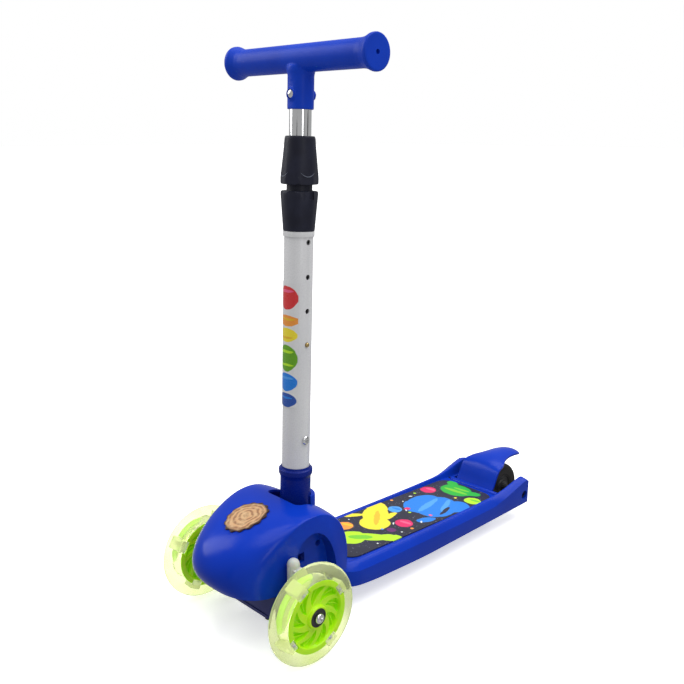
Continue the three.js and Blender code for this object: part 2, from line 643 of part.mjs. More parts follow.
function clampNut() {
  const made = turned([[15.15, m(528.8)], [21.8, m(528.8)], [21.8, m(536)], [17.2, m(580.5)],
    [16.6, m(582)], [INNER_RADIUS + 0.5, m(582)], [INNER_RADIUS + 0.5, m(566)], [15.15, m(566)]], 24);
  const grips = [];
  for (let i = 0; i < 8; i += 1) {
    grips.push(spun(block([21.1, 30], [-3.2, 3.2], [m(520), m(600)]), i * 45));
  }
  return cut(made, ...grips);
}

function innerTube() {
  const tube = ring(INNER_RADIUS - TUBE_WALL, INNER_RADIUS, m(INNER_BOTTOM), m(INNER_TOP));
  const button = rod(HOLE_RADIUS, [5, 0, m(HOLE_HEIGHTS[0])], [30, 0, m(HOLE_HEIGHTS[0])], 16);
  const bolt = rod(3.3, [0, -30, m(SOCKET.boltZ)], [0, 30, m(SOCKET.boltZ)], 16);
  return cut(tube, button, bolt);
}

function handlebar() {
  const { radius, endRadius, halfLength } = BAR;
  const half = [[endRadius - 0.6, halfLength], [endRadius, halfLength - 1], [endRadius, halfLength - 4],
    [17, halfLength - 10], [radius, halfLength - 18]];
  const profile = [[0, halfLength], ...half, ...half.slice().reverse().map(([r, z]) => [r, -z]),
    [0, -halfLength]];
  const bar = moved(onAxle(turned(profile, 20)), 0, 0, m(BAR.z));
  const section = roundedRectangle(SOCKET.half, -SOCKET.half, SOCKET.half, SOCKET.corner);
  const stem = plate(section, m(SOCKET.bottom), m(BAR.z), 2);
  const bosses = [rod(6.6, [0, -SOCKET.half - 2, m(SOCKET.boltZ)], [0, 0, m(SOCKET.boltZ)]),
    rod(6.2, [0, 0, m(SOCKET.boltZ)], [0, SOCKET.half + 4, m(SOCKET.boltZ)])];
  const bore = rod(INNER_RADIUS + GAP, [0, 0, m(600)], [0, 0, m(INNER_TOP) + GAP], 24);
  const boltBore = rod(3.2, [0, -30, m(SOCKET.boltZ)], [0, 30, m(SOCKET.boltZ)], 16);
  const headSeat = rod(5.3, [0, -30, m(SOCKET.boltZ)], [0, -SOCKET.half + 1, m(SOCKET.boltZ)], 16);
  const nutSeat = rod(5, [0, SOCKET.half, m(SOCKET.boltZ)], [0, 30, m(SOCKET.boltZ)]);
  const endHoles = [1, -1].map((side) => rod(2.6, [side * (halfLength - 30), 0, m(BAR.z)],
    [side * (halfLength + 5), 0, m(BAR.z)], 8));
  return cut(join(bar, stem, ...bosses), bore, boltBore, headSeat, nutSeat, ...endHoles);
}

function handleBolt() {
  const [y, z] = [SOCKET.half, m(SOCKET.boltZ)];
  const head = rod(3.6, [0, -y - 2, z], [0, -y + 0.9, z], 16, 4.9);
  const shaft = rod(2.9, [0, -y + 0.5, z], [0, y + 3.4, z], 16);
  return cut(join(head, shaft), rod(1.6, [0, -y - 5, z], [0, -y - 0.9, z], 6));
}

function handleNut() {
  const [y, z] = [SOCKET.half, m(SOCKET.boltZ)];
  return cut(rod(4.6, [0, y + GAP, z], [0, y + 3.2, z], 6), rod(3.2, [0, 0, z], [0, 40, z], 16));
}

function snapButton() {
  const z = m(HOLE_HEIGHTS[0]);
  const pin = join(rod(2.7, [8.4, 0, z], [18, 0, z]), rod(2.7, [17.8, 0, z], [19.2, 0, z], 12, 1.6));
  return join(pin, rod(4, [8, 0, z], [9.2, 0, z]));
}

// A folded leaf that pushes the snap button outwards from the far wall of the inner tube.
function buttonSpring() {
  const outline = [[7.7, 5], [6.9, 5], [6.9, -6], [-0.4, -27], [-9.4, -6.2], [-9.4, 4], [-10.2, 4],
    [-10.2, -6.4], [-0.4, -29], [7.7, -6.2]];
  const leaf = new THREE.Shape(outline.map(([x, drop]) => new THREE.Vector2(x, drop)));
  const strip = new THREE.ExtrudeGeometry(leaf, { depth: 5, bevelEnabled: false });
  strip.rotateX(Math.PI / 2);
  strip.translate(0, 2.5, m(HOLE_HEIGHTS[0]));
  return solid(strip);
}

function socketScrew() {
  const z = m(SCREW_Z);
  const head = rod(5.5, [TUBE_RADIUS + GAP, 0, z], [TUBE_RADIUS + 2.9, 0, z], 16, 3.8);
  const shaft = rod(2.2, [5, 0, z], [TUBE_RADIUS + 1, 0, z], 12);
  return cut(join(head, shaft), rod(1.5, [TUBE_RADIUS + 1.6, 0, z], [30, 0, z], 6));
}

// ---------------------------------------------------------------- assembly
const scooter = assembly(model, 0, -ORIGIN_Y, 0);

function buildDeck() {
  add(scooter, 'deck_shell', deckShell(), GLOSS_BLUE);
  add(scooter, 'deck_mat', deckMat(), MAT_NAVY);
  add(scooter, 'front_cowl', frontCowl(), GLOSS_BLUE);
  add(scooter, 'cowl_badge', cowlBadge(), WOOD);
  add(scooter, 'front_crossmember', crossmember(), NAVY);
  add(scooter, 'pivot_bracket', pivotBracket(), STEEL);
  SCREW_PLACES.forEach(([x, y], i) => {
    const top = i < 2 ? 46 : 38.5;
    const screw = join(rod(5, [x, y, 26.2], [x, y, CHASSIS.bottom - GAP]),
      rod(2.3, [x, y, 28], [x, y, top], 12));
    add(scooter, `chassis_screw_${i + 1}`, screw, STEEL);
  });
}

function buildSteering() {
  const { y, z } = PIVOT;
  const bolt = join(rod(7, [0, 14, z], [0, 19.7, z], 6), rod(AXLE_RADIUS, [0, 18, z], [0, 96, z]));
  add(scooter, 'lean_pivot_bolt', bolt, STEEL);
  const nut = cut(rod(7, [0, 88.3, z], [0, 94.5, z], 6),
    rod(AXLE_RADIUS + GAP, [0, 80, z], [0, 110, z]));
  add(scooter, 'lean_pivot_nut', nut, STEEL);
  add(scooter, 'centring_spring_left', centringSpring(1), STEEL);
  add(scooter, 'centring_spring_right', centringSpring(-1), STEEL);
  add(scooter, 'tie_rod', tieRod(), STEEL);
  for (const [side, name] of [[1, 'left'], [-1, 'right']]) {
    const corner = assembly(scooter, side * KINGPIN_X, 0, 0);
    const place = (manifold) => (side > 0 ? manifold : mirrored(manifold));
    add(corner, `kingpin_${name}`, kingpin(), STEEL);
    add(corner, `knuckle_${name}`, place(knuckle()), NYLON);
    const hub = assembly(corner, side * (FRONT_WHEEL.x - KINGPIN_X), 0, FRONT_WHEEL.radius);
    add(hub, `wheel_axle_${name}`, place(wheelAxle()), CHROME);
    add(hub, `magnet_sleeve_${name}`, magnetSleeve(), BLACK_RUBBER);
    add(hub, `wheel_tyre_${name}`, frontTyre(), CLEAR);
    add(hub, `wheel_core_${name}`, frontCore(), LIME);
    add(hub, `led_ring_${name}`, ledRing(), CLEAR);
    add(hub, `wheel_bearing_${name}_1`, moved(bearing(), 4.5, 0, 0), BLACK_RUBBER);
    add(hub, `wheel_bearing_${name}_2`, moved(bearing(), -11.5, 0, 0), BLACK_RUBBER);
  }
}

function buildRear() {
  const { y, radius, halfWidth } = REAR_WHEEL;
  const axle = assembly(scooter, 0, y, radius);
  add(axle, 'rear_tyre', rearTyre(), BLACK_RUBBER);
  add(axle, 'rear_hub', rearHub(), BLACK_RUBBER);
  add(axle, 'rear_bearing_left', moved(bearing(), halfWidth - 7, 0, 0), STEEL);
  add(axle, 'rear_bearing_right', moved(bearing(), -halfWidth, 0, 0), STEEL);
  const spacer = onAxle(ring(AXLE_RADIUS + GAP, 6.5, halfWidth + GAP, DECK.forkInner - GAP, 12));
  add(axle, 'rear_spacer_left', spacer, BLACK_RUBBER);
  add(axle, 'rear_spacer_right', mirrored(spacer), BLACK_RUBBER);
  add(axle, 'rear_axle_bolt', rearAxleBolt(), STEEL);
  const nut = cut(rod(6.2, [-61.5, 0, 0], [-57.3, 0, 0], 6),
    rod(AXLE_RADIUS + 0.2, [-70, 0, 0], [-50, 0, 0]));
  add(axle, 'rear_axle_nut', nut, STEEL);
  add(scooter, 'brake_fender', brakeFender(), GLOSS_BLUE);
  const pin = rod(2.5, [-50, HINGE.y, HINGE.z], [50, HINGE.y, HINGE.z], 16);
  add(scooter, 'fender_hinge_pin', pin, STEEL);
  add(scooter, 'fender_spring', fenderSpring(), STEEL);
}

function buildColumn() {
  const column = assembly(scooter, 0, PIVOT.y, PIVOT.z);
  add(column, 'column_socket', columnSocket(), GLOSS_BLUE);
  const mast = assembly(column);
  mast.rotation.x = -RAKE;
  add(mast, 'outer_tube', outerTube(), WHITE_PAINT);
  add(mast, 'tube_ring', ring(TUBE_RADIUS + GAP, 18.3, m(470), m(476)), WHITE_PAINT);
  add(mast, 'column_collar', columnCollar(), NAVY);
  add(mast, 'tube_decal', tubeDecal(), WHITE_PAINT);
  add(mast, 'socket_screw', socketScrew(), CHROME);
  add(mast, 'clamp_base', clampBase(), BLACK_NAVY);
  add(mast, 'clamp_nut', clampNut(), BLACK_NAVY);
  add(mast, 'inner_tube', innerTube(), CHROME);
  add(mast, 'guide_bush', ring(INNER_RADIUS + GAP, 15.2, m(312), m(322)), NYLON);
  add(mast, 'snap_button', snapButton(), BRASS);
  add(mast, 'button_spring', buttonSpring(), STEEL);
  add(mast, 'handlebar', handlebar(), SATIN_BLUE);
  add(mast, 'handle_bolt', handleBolt(), CHROME);
  add(mast, 'handle_nut', handleNut(), STEEL);
}

buildDeck();
buildSteering();
buildRear();
buildColumn();

export default model;
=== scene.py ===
# %% [markdown]
# # A child's kick scooter, dressed for the studio
#
# The scooter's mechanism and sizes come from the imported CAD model. This file gives it its looks:
# smooth moulded shells, turned tubes and wheels, printed graphics and soft studio light.
# Each step says what the piece is on the real object, how it could be made, and why this way.

# %% Load the frame
import json
import math

import bpy
from mathutils import Matrix, Vector


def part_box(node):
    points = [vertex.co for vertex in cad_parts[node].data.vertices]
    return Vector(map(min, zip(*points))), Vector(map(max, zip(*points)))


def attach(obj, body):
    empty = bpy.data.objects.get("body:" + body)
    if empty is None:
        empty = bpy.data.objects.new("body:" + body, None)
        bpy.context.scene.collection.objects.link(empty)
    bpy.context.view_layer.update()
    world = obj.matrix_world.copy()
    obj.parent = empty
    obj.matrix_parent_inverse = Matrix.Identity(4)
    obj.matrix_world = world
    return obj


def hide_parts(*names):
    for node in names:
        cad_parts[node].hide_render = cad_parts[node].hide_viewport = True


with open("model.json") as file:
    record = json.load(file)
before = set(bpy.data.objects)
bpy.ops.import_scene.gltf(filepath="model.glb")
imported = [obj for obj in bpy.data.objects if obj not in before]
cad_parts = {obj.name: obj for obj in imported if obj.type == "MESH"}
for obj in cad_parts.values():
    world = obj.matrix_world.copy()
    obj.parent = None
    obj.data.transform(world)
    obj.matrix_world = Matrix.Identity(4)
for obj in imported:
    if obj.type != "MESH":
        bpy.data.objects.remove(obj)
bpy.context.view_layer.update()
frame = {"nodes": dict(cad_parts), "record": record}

# %% [markdown]
# ## Workbenches
#
# Modelling in millimetres around a piece's own axis is easier than working in the assembled
# scooter. Each "place" below is a matrix that carries such a piece to its spot in metres.
# The heights along the mast are given as they stand above the floor, because the mast's own
# place tilts them back by its rake.

# %% Places that carry a finished piece from its bench to the scooter
MM = Matrix.Scale(0.001, 4)
tyre_low, tyre_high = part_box("wheel_tyre_left")
AXLE_Y = (tyre_low.y + tyre_high.y) / 2
AXLE_Z = (tyre_low.z + tyre_high.z) / 2
WHEEL_X = (tyre_low.x + tyre_high.x) / 2
rear_low, rear_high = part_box("rear_tyre")
REAR_Y = (rear_low.y + rear_high.y) / 2
REAR_Z = (rear_low.z + rear_high.z) / 2
RAKE = math.atan(0.0309)
LEAN_Y, LEAN_Z = 0.065, 0.085

ON_DECK = Matrix.Translation((0, AXLE_Y, 0)) @ MM
ON_MAST = (Matrix.Translation((0, AXLE_Y + LEAN_Y, LEAN_Z)) @ Matrix.Rotation(-RAKE, 4, "X")
           @ Matrix.Translation((0, 0, -LEAN_Z)) @ MM)


def on_axle(side, x, y, z):
    """A bench whose +Z points outwards along the axle, to the left (1) or the right (-1)."""
    turn = Matrix.Rotation(side * math.pi / 2, 4, "Y")
    return Matrix.Translation((side * x, y, z)) @ turn @ MM


print("front axle at y", round(AXLE_Y, 4), "wheels at x", round(WHEEL_X, 4), "rear axle",
      round(REAR_Y, 4))

# %% [markdown]
# ## The camera
#
# The camera looks down a little from the scooter's front left, about a metre away. A modest
# telephoto lens keeps the column upright without flattening the deck.

# %% Camera
camera_data = bpy.data.cameras.new("studio_camera")
camera_data.lens = 43.62
camera_data.sensor_width = 36
camera_data.shift_x = 0.0003
camera_data.shift_y = 0.0003
camera = bpy.data.objects.new("studio_camera", camera_data)
bpy.context.scene.collection.objects.link(camera)
camera.location = (0.7160, AXLE_Y - 0.5592, 0.5863)
aim = Vector((0.006831, AXLE_Y + 0.140378, 0.333536)) - camera.location
roll = Matrix.Rotation(math.radians(0.195), 4, "Z")
camera.matrix_world = (Matrix.Translation(camera.location)
                       @ aim.to_track_quat("-Z", "Y").to_matrix().to_4x4() @ roll)
bpy.context.scene.camera = camera
print("camera", [round(c, 3) for c in camera.location])

# %% [markdown]
# ## Hand tools
#
# Every round piece starts as an outline that is drawn point by point and spun about its axis,
# as on a lathe. Every flat piece is an outline that is filled and pushed through its thickness.
# A handful of small helpers keeps those steps readable in the cells that follow.

# %% Selection and edit-mode helpers
def pick(*pieces):
    """Selects these objects only, and makes the first one active."""
    bpy.ops.object.select_all(action="DESELECT")
    for piece in pieces:
        piece.select_set(True)
    bpy.context.view_layer.objects.active = pieces[0]


def edit(piece):
    """Opens edit mode on one piece with everything in it selected."""
    pick(piece)
    bpy.ops.object.mode_set(mode="EDIT")
    bpy.ops.mesh.select_mode(type="VERT")
    bpy.ops.mesh.select_all(action="SELECT")


def leave_edit():
    bpy.ops.object.mode_set(mode="OBJECT")


def apply_modifier(piece, kind, **settings):
    """Adds a modifier, sets it up and applies it at once."""
    pick(piece)
    modifier = piece.modifiers.new(kind.lower(), kind)
    for key, value in settings.items():
        setattr(modifier, key, value)
    bpy.ops.object.modifier_apply(modifier=modifier.name)
    return piece


def settle(piece, place):
    """Carries a piece from its bench to its place, and leaves its object at the origin."""
    pick(piece)
    piece.matrix_world = place
    bpy.ops.object.transform_apply(location=True, rotation=True, scale=True)
    return piece


def fresh(name, add, **settings):
    """Adds a primitive, selected alone, and gives it its name."""
    bpy.ops.object.select_all(action="DESELECT")
    add(**settings)
    piece = bpy.context.object
    piece.name = piece.data.name = name
    return piece


def close_edit(piece):
    """Turns every face of the open piece outwards and leaves edit mode."""
    bpy.ops.mesh.select_all(action="SELECT")
    bpy.ops.mesh.normals_make_consistent(inside=False)
    leave_edit()
    return piece


def capped(piece):
    """Fills the open ends of the piece in edit mode, and closes it."""
    bpy.ops.mesh.select_mode(type="EDGE")
    bpy.ops.mesh.select_all(action="DESELECT")
    bpy.ops.mesh.select_non_manifold()
    bpy.ops.mesh.fill_holes(sides=0)
    return close_edit(piece)


# %% Drawing an outline, and easing its corners
def eased(outline, size=0.6, cuts=3):
    """Rounds the corners of a closed outline; corners on the axis stay sharp."""
    made = []
    count = len(outline)
    for i, point in enumerate(outline):
        here = Vector(point)
        before, after = Vector(outline[i - 1]), Vector(outline[(i + 1) % count])
        if here.x < 1e-6:
            made.append(tuple(here))
            continue
        reach_in = min(size, (before - here).length * 0.45)
        reach_out = min(size, (after - here).length * 0.45)
        start = here + (before - here).normalized() * reach_in
        end = here + (after - here).normalized() * reach_out
        for step in range(cuts + 1):
            t = step / cuts
            made.append(tuple(start * (1 - t) ** 2 + here * 2 * t * (1 - t) + end * t ** 2))
    return made


def traced(name, points):
    """A loop of edges, drawn by extruding one corner after another."""
    piece = fresh(name, bpy.ops.mesh.primitive_plane_add, size=1)
    edit(piece)
    bpy.ops.mesh.merge(type="CENTER")
    bpy.ops.transform.translate(value=points[0])
    for here, after in zip(points, points[1:] + points[:1]):
        step = tuple(b - a for a, b in zip(here, after))
        bpy.ops.mesh.extrude_region_move(TRANSFORM_OT_translate={"value": step})
    bpy.ops.mesh.select_all(action="SELECT")
    bpy.ops.mesh.remove_doubles(threshold=1e-4)
    return piece


def turned(name, outline, steps=96, ease=0.5, cuts=3):
    """Spins a closed outline of (radius, height) points about Z."""
    shape = eased(outline, ease, cuts) if ease else outline
    piece = traced(name, [(r, 0, h) for r, h in shape])
    bpy.ops.mesh.spin(steps=steps, angle=math.tau, center=(0, 0, 0), axis=(0, 0, 1))
    bpy.ops.mesh.select_all(action="SELECT")
    bpy.ops.mesh.remove_doubles(threshold=1e-4)
    return close_edit(piece)


def plate(name, points, low, high):
    """Fills an outline in XY at the height low, and pushes it up to high."""
    piece = traced(name, [(x, y, low) for x, y in points])
    bpy.ops.mesh.edge_face_add()
    bpy.ops.mesh.extrude_region_move(TRANSFORM_OT_translate={"value": (0, 0, high - low)})
    return close_edit(piece)


def brick(name, xs, ys, zs, soften=0.0):
    """A block between two corners, with its edges rounded by soften."""
    piece = fresh(name, bpy.ops.mesh.primitive_cube_add, size=1,
                  location=[(a + b) / 2 for a, b in (xs, ys, zs)],
                  scale=[abs(b - a) for a, b in (xs, ys, zs)])
    bpy.ops.object.transform_apply(location=True, rotation=True, scale=True)
    if soften:
        edit(piece)
        bpy.ops.mesh.bevel(offset=soften, segments=4, affect="EDGES")
        leave_edit()
    return piece


def turn_z(degrees):
    return Matrix.Rotation(math.radians(degrees), 4, "Z")


def aimed(piece, axis, at=(0, 0, 0)):
    """Turns a Z-turned piece so that its +Z points along axis, and moves it to at."""
    turn = Vector((0, 0, 1)).rotation_difference(Vector(axis)).to_matrix().to_4x4()
    return settle(piece, Matrix.Translation(at) @ turn)


def peg(name, radius, low, high, steps=48):
    """A plain turned pin along Z."""
    return turned(name, [(0, low), (radius, low), (radius, high), (0, high)], steps, 0)


def combined(piece, tool, how):
    """Joins or cuts a piece with a tool, which is used up."""
    apply_modifier(piece, "BOOLEAN", operation=how, object=tool, solver="EXACT")
    bpy.data.objects.remove(tool)
    return piece


def cut(piece, *tools):
    for tool in tools:
        combined(piece, tool, "DIFFERENCE")
    return piece


def fused(piece, *tools):
    for tool in tools:
        combined(piece, tool, "UNION")
    return piece


def repeated(tool, count):
    """The same tool copied round Z and joined into one object."""
    copies = []
    for i in range(1, count):
        copy = tool.copy()
        copy.data = tool.data.copy()
        bpy.context.scene.collection.objects.link(copy)
        copies.append(settle(copy, turn_z(360 * i / count)))
    pick(tool, *copies)
    bpy.ops.object.join()
    return tool


# %% [markdown]
# ## Finishes
#
# A moulded toy is never one flat colour. Its gloss shells have a faint orange-peel surface and a
# slow change of tone, its powder coat has a finer one, and its plated tubes carry hairline
# marks. One helper builds that structure from noise in the piece's own coordinates, and
# each finish sets its own scale, strength and roughness range.

# %% The finish helper
def new_finish(name):
    material = bpy.data.materials.new(name)
    material.use_nodes = True
    tree = material.node_tree
    shader = tree.nodes["Principled BSDF"]
    coords = tree.nodes.new("ShaderNodeTexCoord")
    return material, tree, shader, coords.outputs["Object"]


def noise(tree, vector, scale, detail=3.0, stretch=(1, 1, 1)):
    """A noise pattern, optionally stretched along one axis."""
    mapping = tree.nodes.new("ShaderNodeMapping")
    mapping.inputs["Scale"].default_value = stretch
    texture = tree.nodes.new("ShaderNodeTexNoise")
    texture.inputs["Scale"].default_value = scale
    texture.inputs["Detail"].default_value = detail
    tree.links.new(vector, mapping.inputs["Vector"])
    tree.links.new(mapping.outputs["Vector"], texture.inputs["Vector"])
    return texture.outputs["Fac"]


def ranged(tree, value, low, high, from_low=0.3, from_high=0.7):
    node = tree.nodes.new("ShaderNodeMapRange")
    node.inputs["From Min"].default_value = from_low
    node.inputs["From Max"].default_value = from_high
    node.inputs["To Min"].default_value = low
    node.inputs["To Max"].default_value = high
    tree.links.new(value, node.inputs["Value"])
    return node.outputs["Result"]


def blended(tree, amount, first, second):
    """Mixes two colours, each a tuple or another node's output."""
    node = tree.nodes.new("ShaderNodeMix")
    node.data_type = "RGBA"
    for socket, value in ((node.inputs[6], first), (node.inputs[7], second)):
        if isinstance(value, tuple):
            socket.default_value = (*value, 1)
        else:
            tree.links.new(value, socket)
    tree.links.new(amount, node.inputs[0])
    return node.outputs[2]


def vector_maths(tree, operation, vector, other=None):
    """One vector sum; other may be a second vector, a constant one or a number."""
    node = tree.nodes.new("ShaderNodeVectorMath")
    node.operation = operation
    tree.links.new(vector, node.inputs[0])
    if operation == "SCALE":
        node.inputs["Scale"].default_value = other
    elif isinstance(other, tuple):
        node.inputs[1].default_value = other
    elif other:
        tree.links.new(other, node.inputs[1])
    return node.outputs["Value" if operation == "LENGTH" else "Vector"]


def bumped(tree, shader, height, strength, distance):
    node = tree.nodes.new("ShaderNodeBump")
    node.inputs["Strength"].default_value = strength
    node.inputs["Distance"].default_value = distance
    tree.links.new(height, node.inputs["Height"])
    tree.links.new(node.outputs["Normal"], shader.inputs["Normal"])


def dressed(tree, shader, colour, grain, rough, bump, depth):
    """Gives the finish its colour, and lets the grain vary its gloss and raise its surface."""
    tree.links.new(colour, shader.inputs["Base Color"])
    tree.links.new(ranged(tree, grain, *rough), shader.inputs["Roughness"])
    bumped(tree, shader, grain, bump, depth)


def made_finish(name, light, dark, rough, tone=18, grain=900, bump=0.12, depth=0.0002,
                stretch=(1, 1, 1), **shader_values):
    """A finish with a slow change of tone, a fine grain and uneven gloss."""
    material, tree, shader, coords = new_finish(name)
    slow = noise(tree, coords, tone, 2)
    fine = noise(tree, coords, grain, 4, stretch)
    colour = blended(tree, ranged(tree, slow, 0, 1), dark, light)
    dressed(tree, shader, colour, fine, rough, bump, depth)
    for socket, value in shader_values.items():
        shader.inputs[socket.replace("_", " ")].default_value = value
    return material


# %% Moulded plastics
gloss_blue = made_finish("gloss_blue", (0.004, 0.043, 0.50), (0.003, 0.033, 0.42), (0.16, 0.24), 14,
                         120, 0.02, 0.0003, Specular_IOR_Level=0.14)
satin_blue = made_finish("satin_blue", (0.006, 0.060, 0.62), (0.005, 0.048, 0.53), (0.34, 0.46), 20,
                         1400, 0.15, 0.0002, Specular_IOR_Level=0.14)
navy_plastic = made_finish("navy_plastic", (0.008, 0.016, 0.17), (0.005, 0.011, 0.12), (0.3, 0.42),
                           24, 1200, 0.2)
clamp_navy = made_finish("clamp_navy", (0.013, 0.015, 0.034), (0.008, 0.009, 0.022), (0.4, 0.55),
                         60, 1600, 0.3, Specular_IOR_Level=0.3)
# The faint lime emission is a painted glow, standing in for the fluorescent dye's brightness.
lime_plastic = made_finish("lime_plastic", (0.60, 1.0, 0.008), (0.46, 0.92, 0.005), (0.28, 0.4), 30,
                           900, 0.15, Subsurface_Weight=0.15, Subsurface_Scale=0.004,
                           Subsurface_Radius=(0.4, 1.0, 0.1),
                           Emission_Color=(0.50, 1.0, 0.01, 1), Emission_Strength=0.03)
# The nylon's light grey is partly its own colour and partly painted shade, for the knuckles under
# the cowl.
nylon = made_finish("nylon", (0.58, 0.60, 0.57), (0.50, 0.52, 0.50), (0.4, 0.55), 60, 1500, 0.3,
                    Subsurface_Weight=0.2, Subsurface_Scale=0.002)
black_plastic = made_finish("black_plastic", (0.016, 0.016, 0.017), (0.008, 0.008, 0.009),
                            (0.4, 0.6), 60, 1600, 0.35)
black_tyre = made_finish("black_tyre", (0.014, 0.012, 0.011), (0.008, 0.007, 0.007), (0.4, 0.6), 50,
                         700, 0.3, 0.0003, Specular_IOR_Level=0.25)
bearing_seal = made_finish("bearing_seal", (0.030, 0.030, 0.032), (0.016, 0.016, 0.018),
                           (0.35, 0.5), 200, 2200, 0.3)

# %% Metals and paint
chrome = made_finish("chrome", (0.82, 0.83, 0.84), (0.74, 0.75, 0.76), (0.04, 0.12), 40, 500, 0.03,
                     stretch=(1, 1, 0.02), Metallic=1.0)
steel = made_finish("steel", (0.56, 0.57, 0.59), (0.44, 0.45, 0.47), (0.24, 0.42), 90, 900, 0.2,
                    stretch=(1, 1, 0.1), Metallic=1.0)
brass = made_finish("brass", (0.62, 0.46, 0.20), (0.45, 0.32, 0.13), (0.2, 0.36), 90, 900, 0.15,
                    Metallic=1.0)
white_paint = made_finish("white_paint", (0.80, 0.80, 0.815), (0.74, 0.745, 0.765), (0.22, 0.34),
                          16, 700, 0.1, 0.0002, Coat_Weight=0.15)
print("plain finishes ready")

# %% [markdown]
# Cast polyurethane tyres are clear but a little milky and pale yellow-green. Transmission lets
# the lime core show through, and a faint haze in the roughness keeps them from looking
# like glass. The same recipe, clearer, serves the light pods.

# %% Clear plastics
# Both clear finishes carry a faint emission: a painted glow in the tyres and light pods.
clear_tyre = made_finish("clear_tyre", (0.92, 0.96, 0.62), (0.84, 0.91, 0.46), (0.08, 0.20), 40,
                         500, 0.06, IOR=1.14, Transmission_Weight=0.80, Specular_IOR_Level=0.4,
                         Emission_Color=(0.80, 0.92, 0.40, 1), Emission_Strength=0.03)
clear_plastic = made_finish("clear_plastic", (0.92, 0.95, 0.74), (0.86, 0.91, 0.62), (0.14, 0.26),
                            60, 500, 0.06, IOR=1.16, Transmission_Weight=0.62,
                            Emission_Color=(0.90, 0.95, 0.70, 1), Emission_Strength=0.04)


# %% [markdown]
# Printed pieces need flat shapes of ink over a base. An ellipse test on two coordinates is
# enough for playful blobs, comets and dots: each spot is one short chain of nodes, and a
# little noise added to the position gives it a hand-drawn edge.

# %% Printing helpers
def wobbled(tree, coords, amount, scale):
    """The coordinates, nudged by noise so that printed edges look hand drawn."""
    texture = tree.nodes.new("ShaderNodeTexNoise")
    texture.inputs["Scale"].default_value = scale
    tree.links.new(coords, texture.inputs["Vector"])
    centred = vector_maths(tree, "SUBTRACT", texture.outputs["Color"], (0.5, 0.5, 0.5))
    return vector_maths(tree, "ADD", coords, vector_maths(tree, "SCALE", centred, amount))


def spot(tree, coords, under, ink, centre, half, turn=0.0, flat_axis="Z"):
    """Prints one ellipse of ink over the colours under it."""
    mapping = tree.nodes.new("ShaderNodeMapping")
    mapping.vector_type = "TEXTURE"
    mapping.inputs["Location"].default_value = centre
    mapping.inputs["Rotation"].default_value[2 if flat_axis == "Z" else 1] = math.radians(turn)
    size = [half[0], half[1], 1000] if flat_axis == "Z" else [half[0], 1000, half[1]]
    mapping.inputs["Scale"].default_value = size
    tree.links.new(coords, mapping.inputs["Vector"])
    reach = vector_maths(tree, "LENGTH", mapping.outputs["Vector"])
    edge = ranged(tree, reach, 1, 0, 0.98, 1.03)
    return blended(tree, edge, under, ink)


# %% [markdown]
# ## The deck
#
# The deck is one hollow moulding: a tray for the printed mat, a raised rim with a soft crown,
# and two arms that hold the rear wheel. It could be carved from a block, but its crown changes
# height all along, so a sheet is laid out as a grid, raised along measured curves, and pushed
# down to form the sides. The ribbed pockets underneath are then cut as a mould would leave them.

# %% Curves that give the deck its height
def flowing(points):
    """A smooth line through (place, height) points, read back at any place."""
    samples = []
    for i in range(len(points) - 1):
        p = [points[max(0, min(len(points) - 1, i + k))] for k in (-1, 0, 1, 2)]
        for step in range(24):
            t = step / 24
            samples.append(tuple(
                0.5 * (2 * b + (c - a) * t + (2 * a - 5 * b + 4 * c - d) * t ** 2
                       + (3 * b - a - 3 * c + d) * t ** 3)
                for a, b, c, d in zip(*p)))
    samples.append(points[-1])

    def height(place):
        if place <= samples[0][0]:
            return samples[0][1]
        for (x0, y0), (x1, y1) in zip(samples, samples[1:]):
            if place <= x1:
                return y0 + (y1 - y0) * (place - x0) / max(1e-9, x1 - x0)
        return samples[-1][1]
    return height


def smooth(value, low, high):
    t = max(0.0, min(1.0, (value - low) / (high - low)))
    return t * t * (3 - 2 * t)


def floor_height(y):
    return 61 - (y - 100) * 0.0472


crown_height = flowing([(90, 64), (110, 62), (150, 60.2), (200, 58.4), (300, 55.4), (380, 53.9),
                        (415, 53.8), (440, 55.8), (462, 60), (480, 63.4), (489, 64), (495, 61)])
rim_drop = flowing([(90, 7), (130, 10), (250, 10.5), (395, 10.5), (418, 8.5), (443, 6), (465, 4.5),
                    (495, 3)])
under_height = flowing([(90, 33), (110, 32.5), (140, 29), (172, 26.8), (241, 23.5), (300, 23),
                        (500, 23)])
corner_pull = flowing([(94, 14), (98, 8.5), (103, 4.6), (110, 1.6), (118, 0.2), (124, 0), (500, 0)])
DECK_HALF = 65
ACROSS = (1, 0, 0)
REAR_AXLE = (0, 485, 37.5)
FENDER_HINGE = (0, 440.5, 43)
RIM_WIDTH, RIM_SLOPE = 16, 12


def deck_height(x, y, half):
    inset = half - abs(x)
    crown = crown_height(y)
    if inset < RIM_SLOPE:
        return crown - rim_drop(y) * (1 - math.sin(inset / RIM_SLOPE * math.pi / 2))
    lift = max(smooth(RIM_WIDTH - inset, 0, RIM_WIDTH - RIM_SLOPE), smooth(114 - y, 0, 9))
    return floor_height(y) + (crown - floor_height(y)) * lift


# %% A sheet laid out as a grid, pushed down to a body
def pushed_sheet(name, columns, rows, place):
    """place(column, row, upper) gives each point of the top and of the underside."""
    piece = fresh(name, bpy.ops.mesh.primitive_grid_add, x_subdivisions=columns,
                  y_subdivisions=rows, size=2)
    bpy.ops.object.mode_set(mode="EDIT")
    bpy.ops.mesh.extrude_region_move(TRANSFORM_OT_translate={"value": (0, 0, -1)})
    leave_edit()
    for vertex in piece.data.vertices:
        column = round((vertex.co.x + 1) / 2 * columns)
        row = round((vertex.co.y + 1) / 2 * rows)
        vertex.co = place(column, row, vertex.co.z > -0.5)
    edit(piece)
    return close_edit(piece)


# %% The deck shell
INSETS = [0, 0.3, 0.8, 1.5, 2.5, 4, 6, 8, 9, 10, 11, 12, 13, 14, 15, 16, 30, 65]
deck_rows = [95 + 400 * i / 100 for i in range(101)]


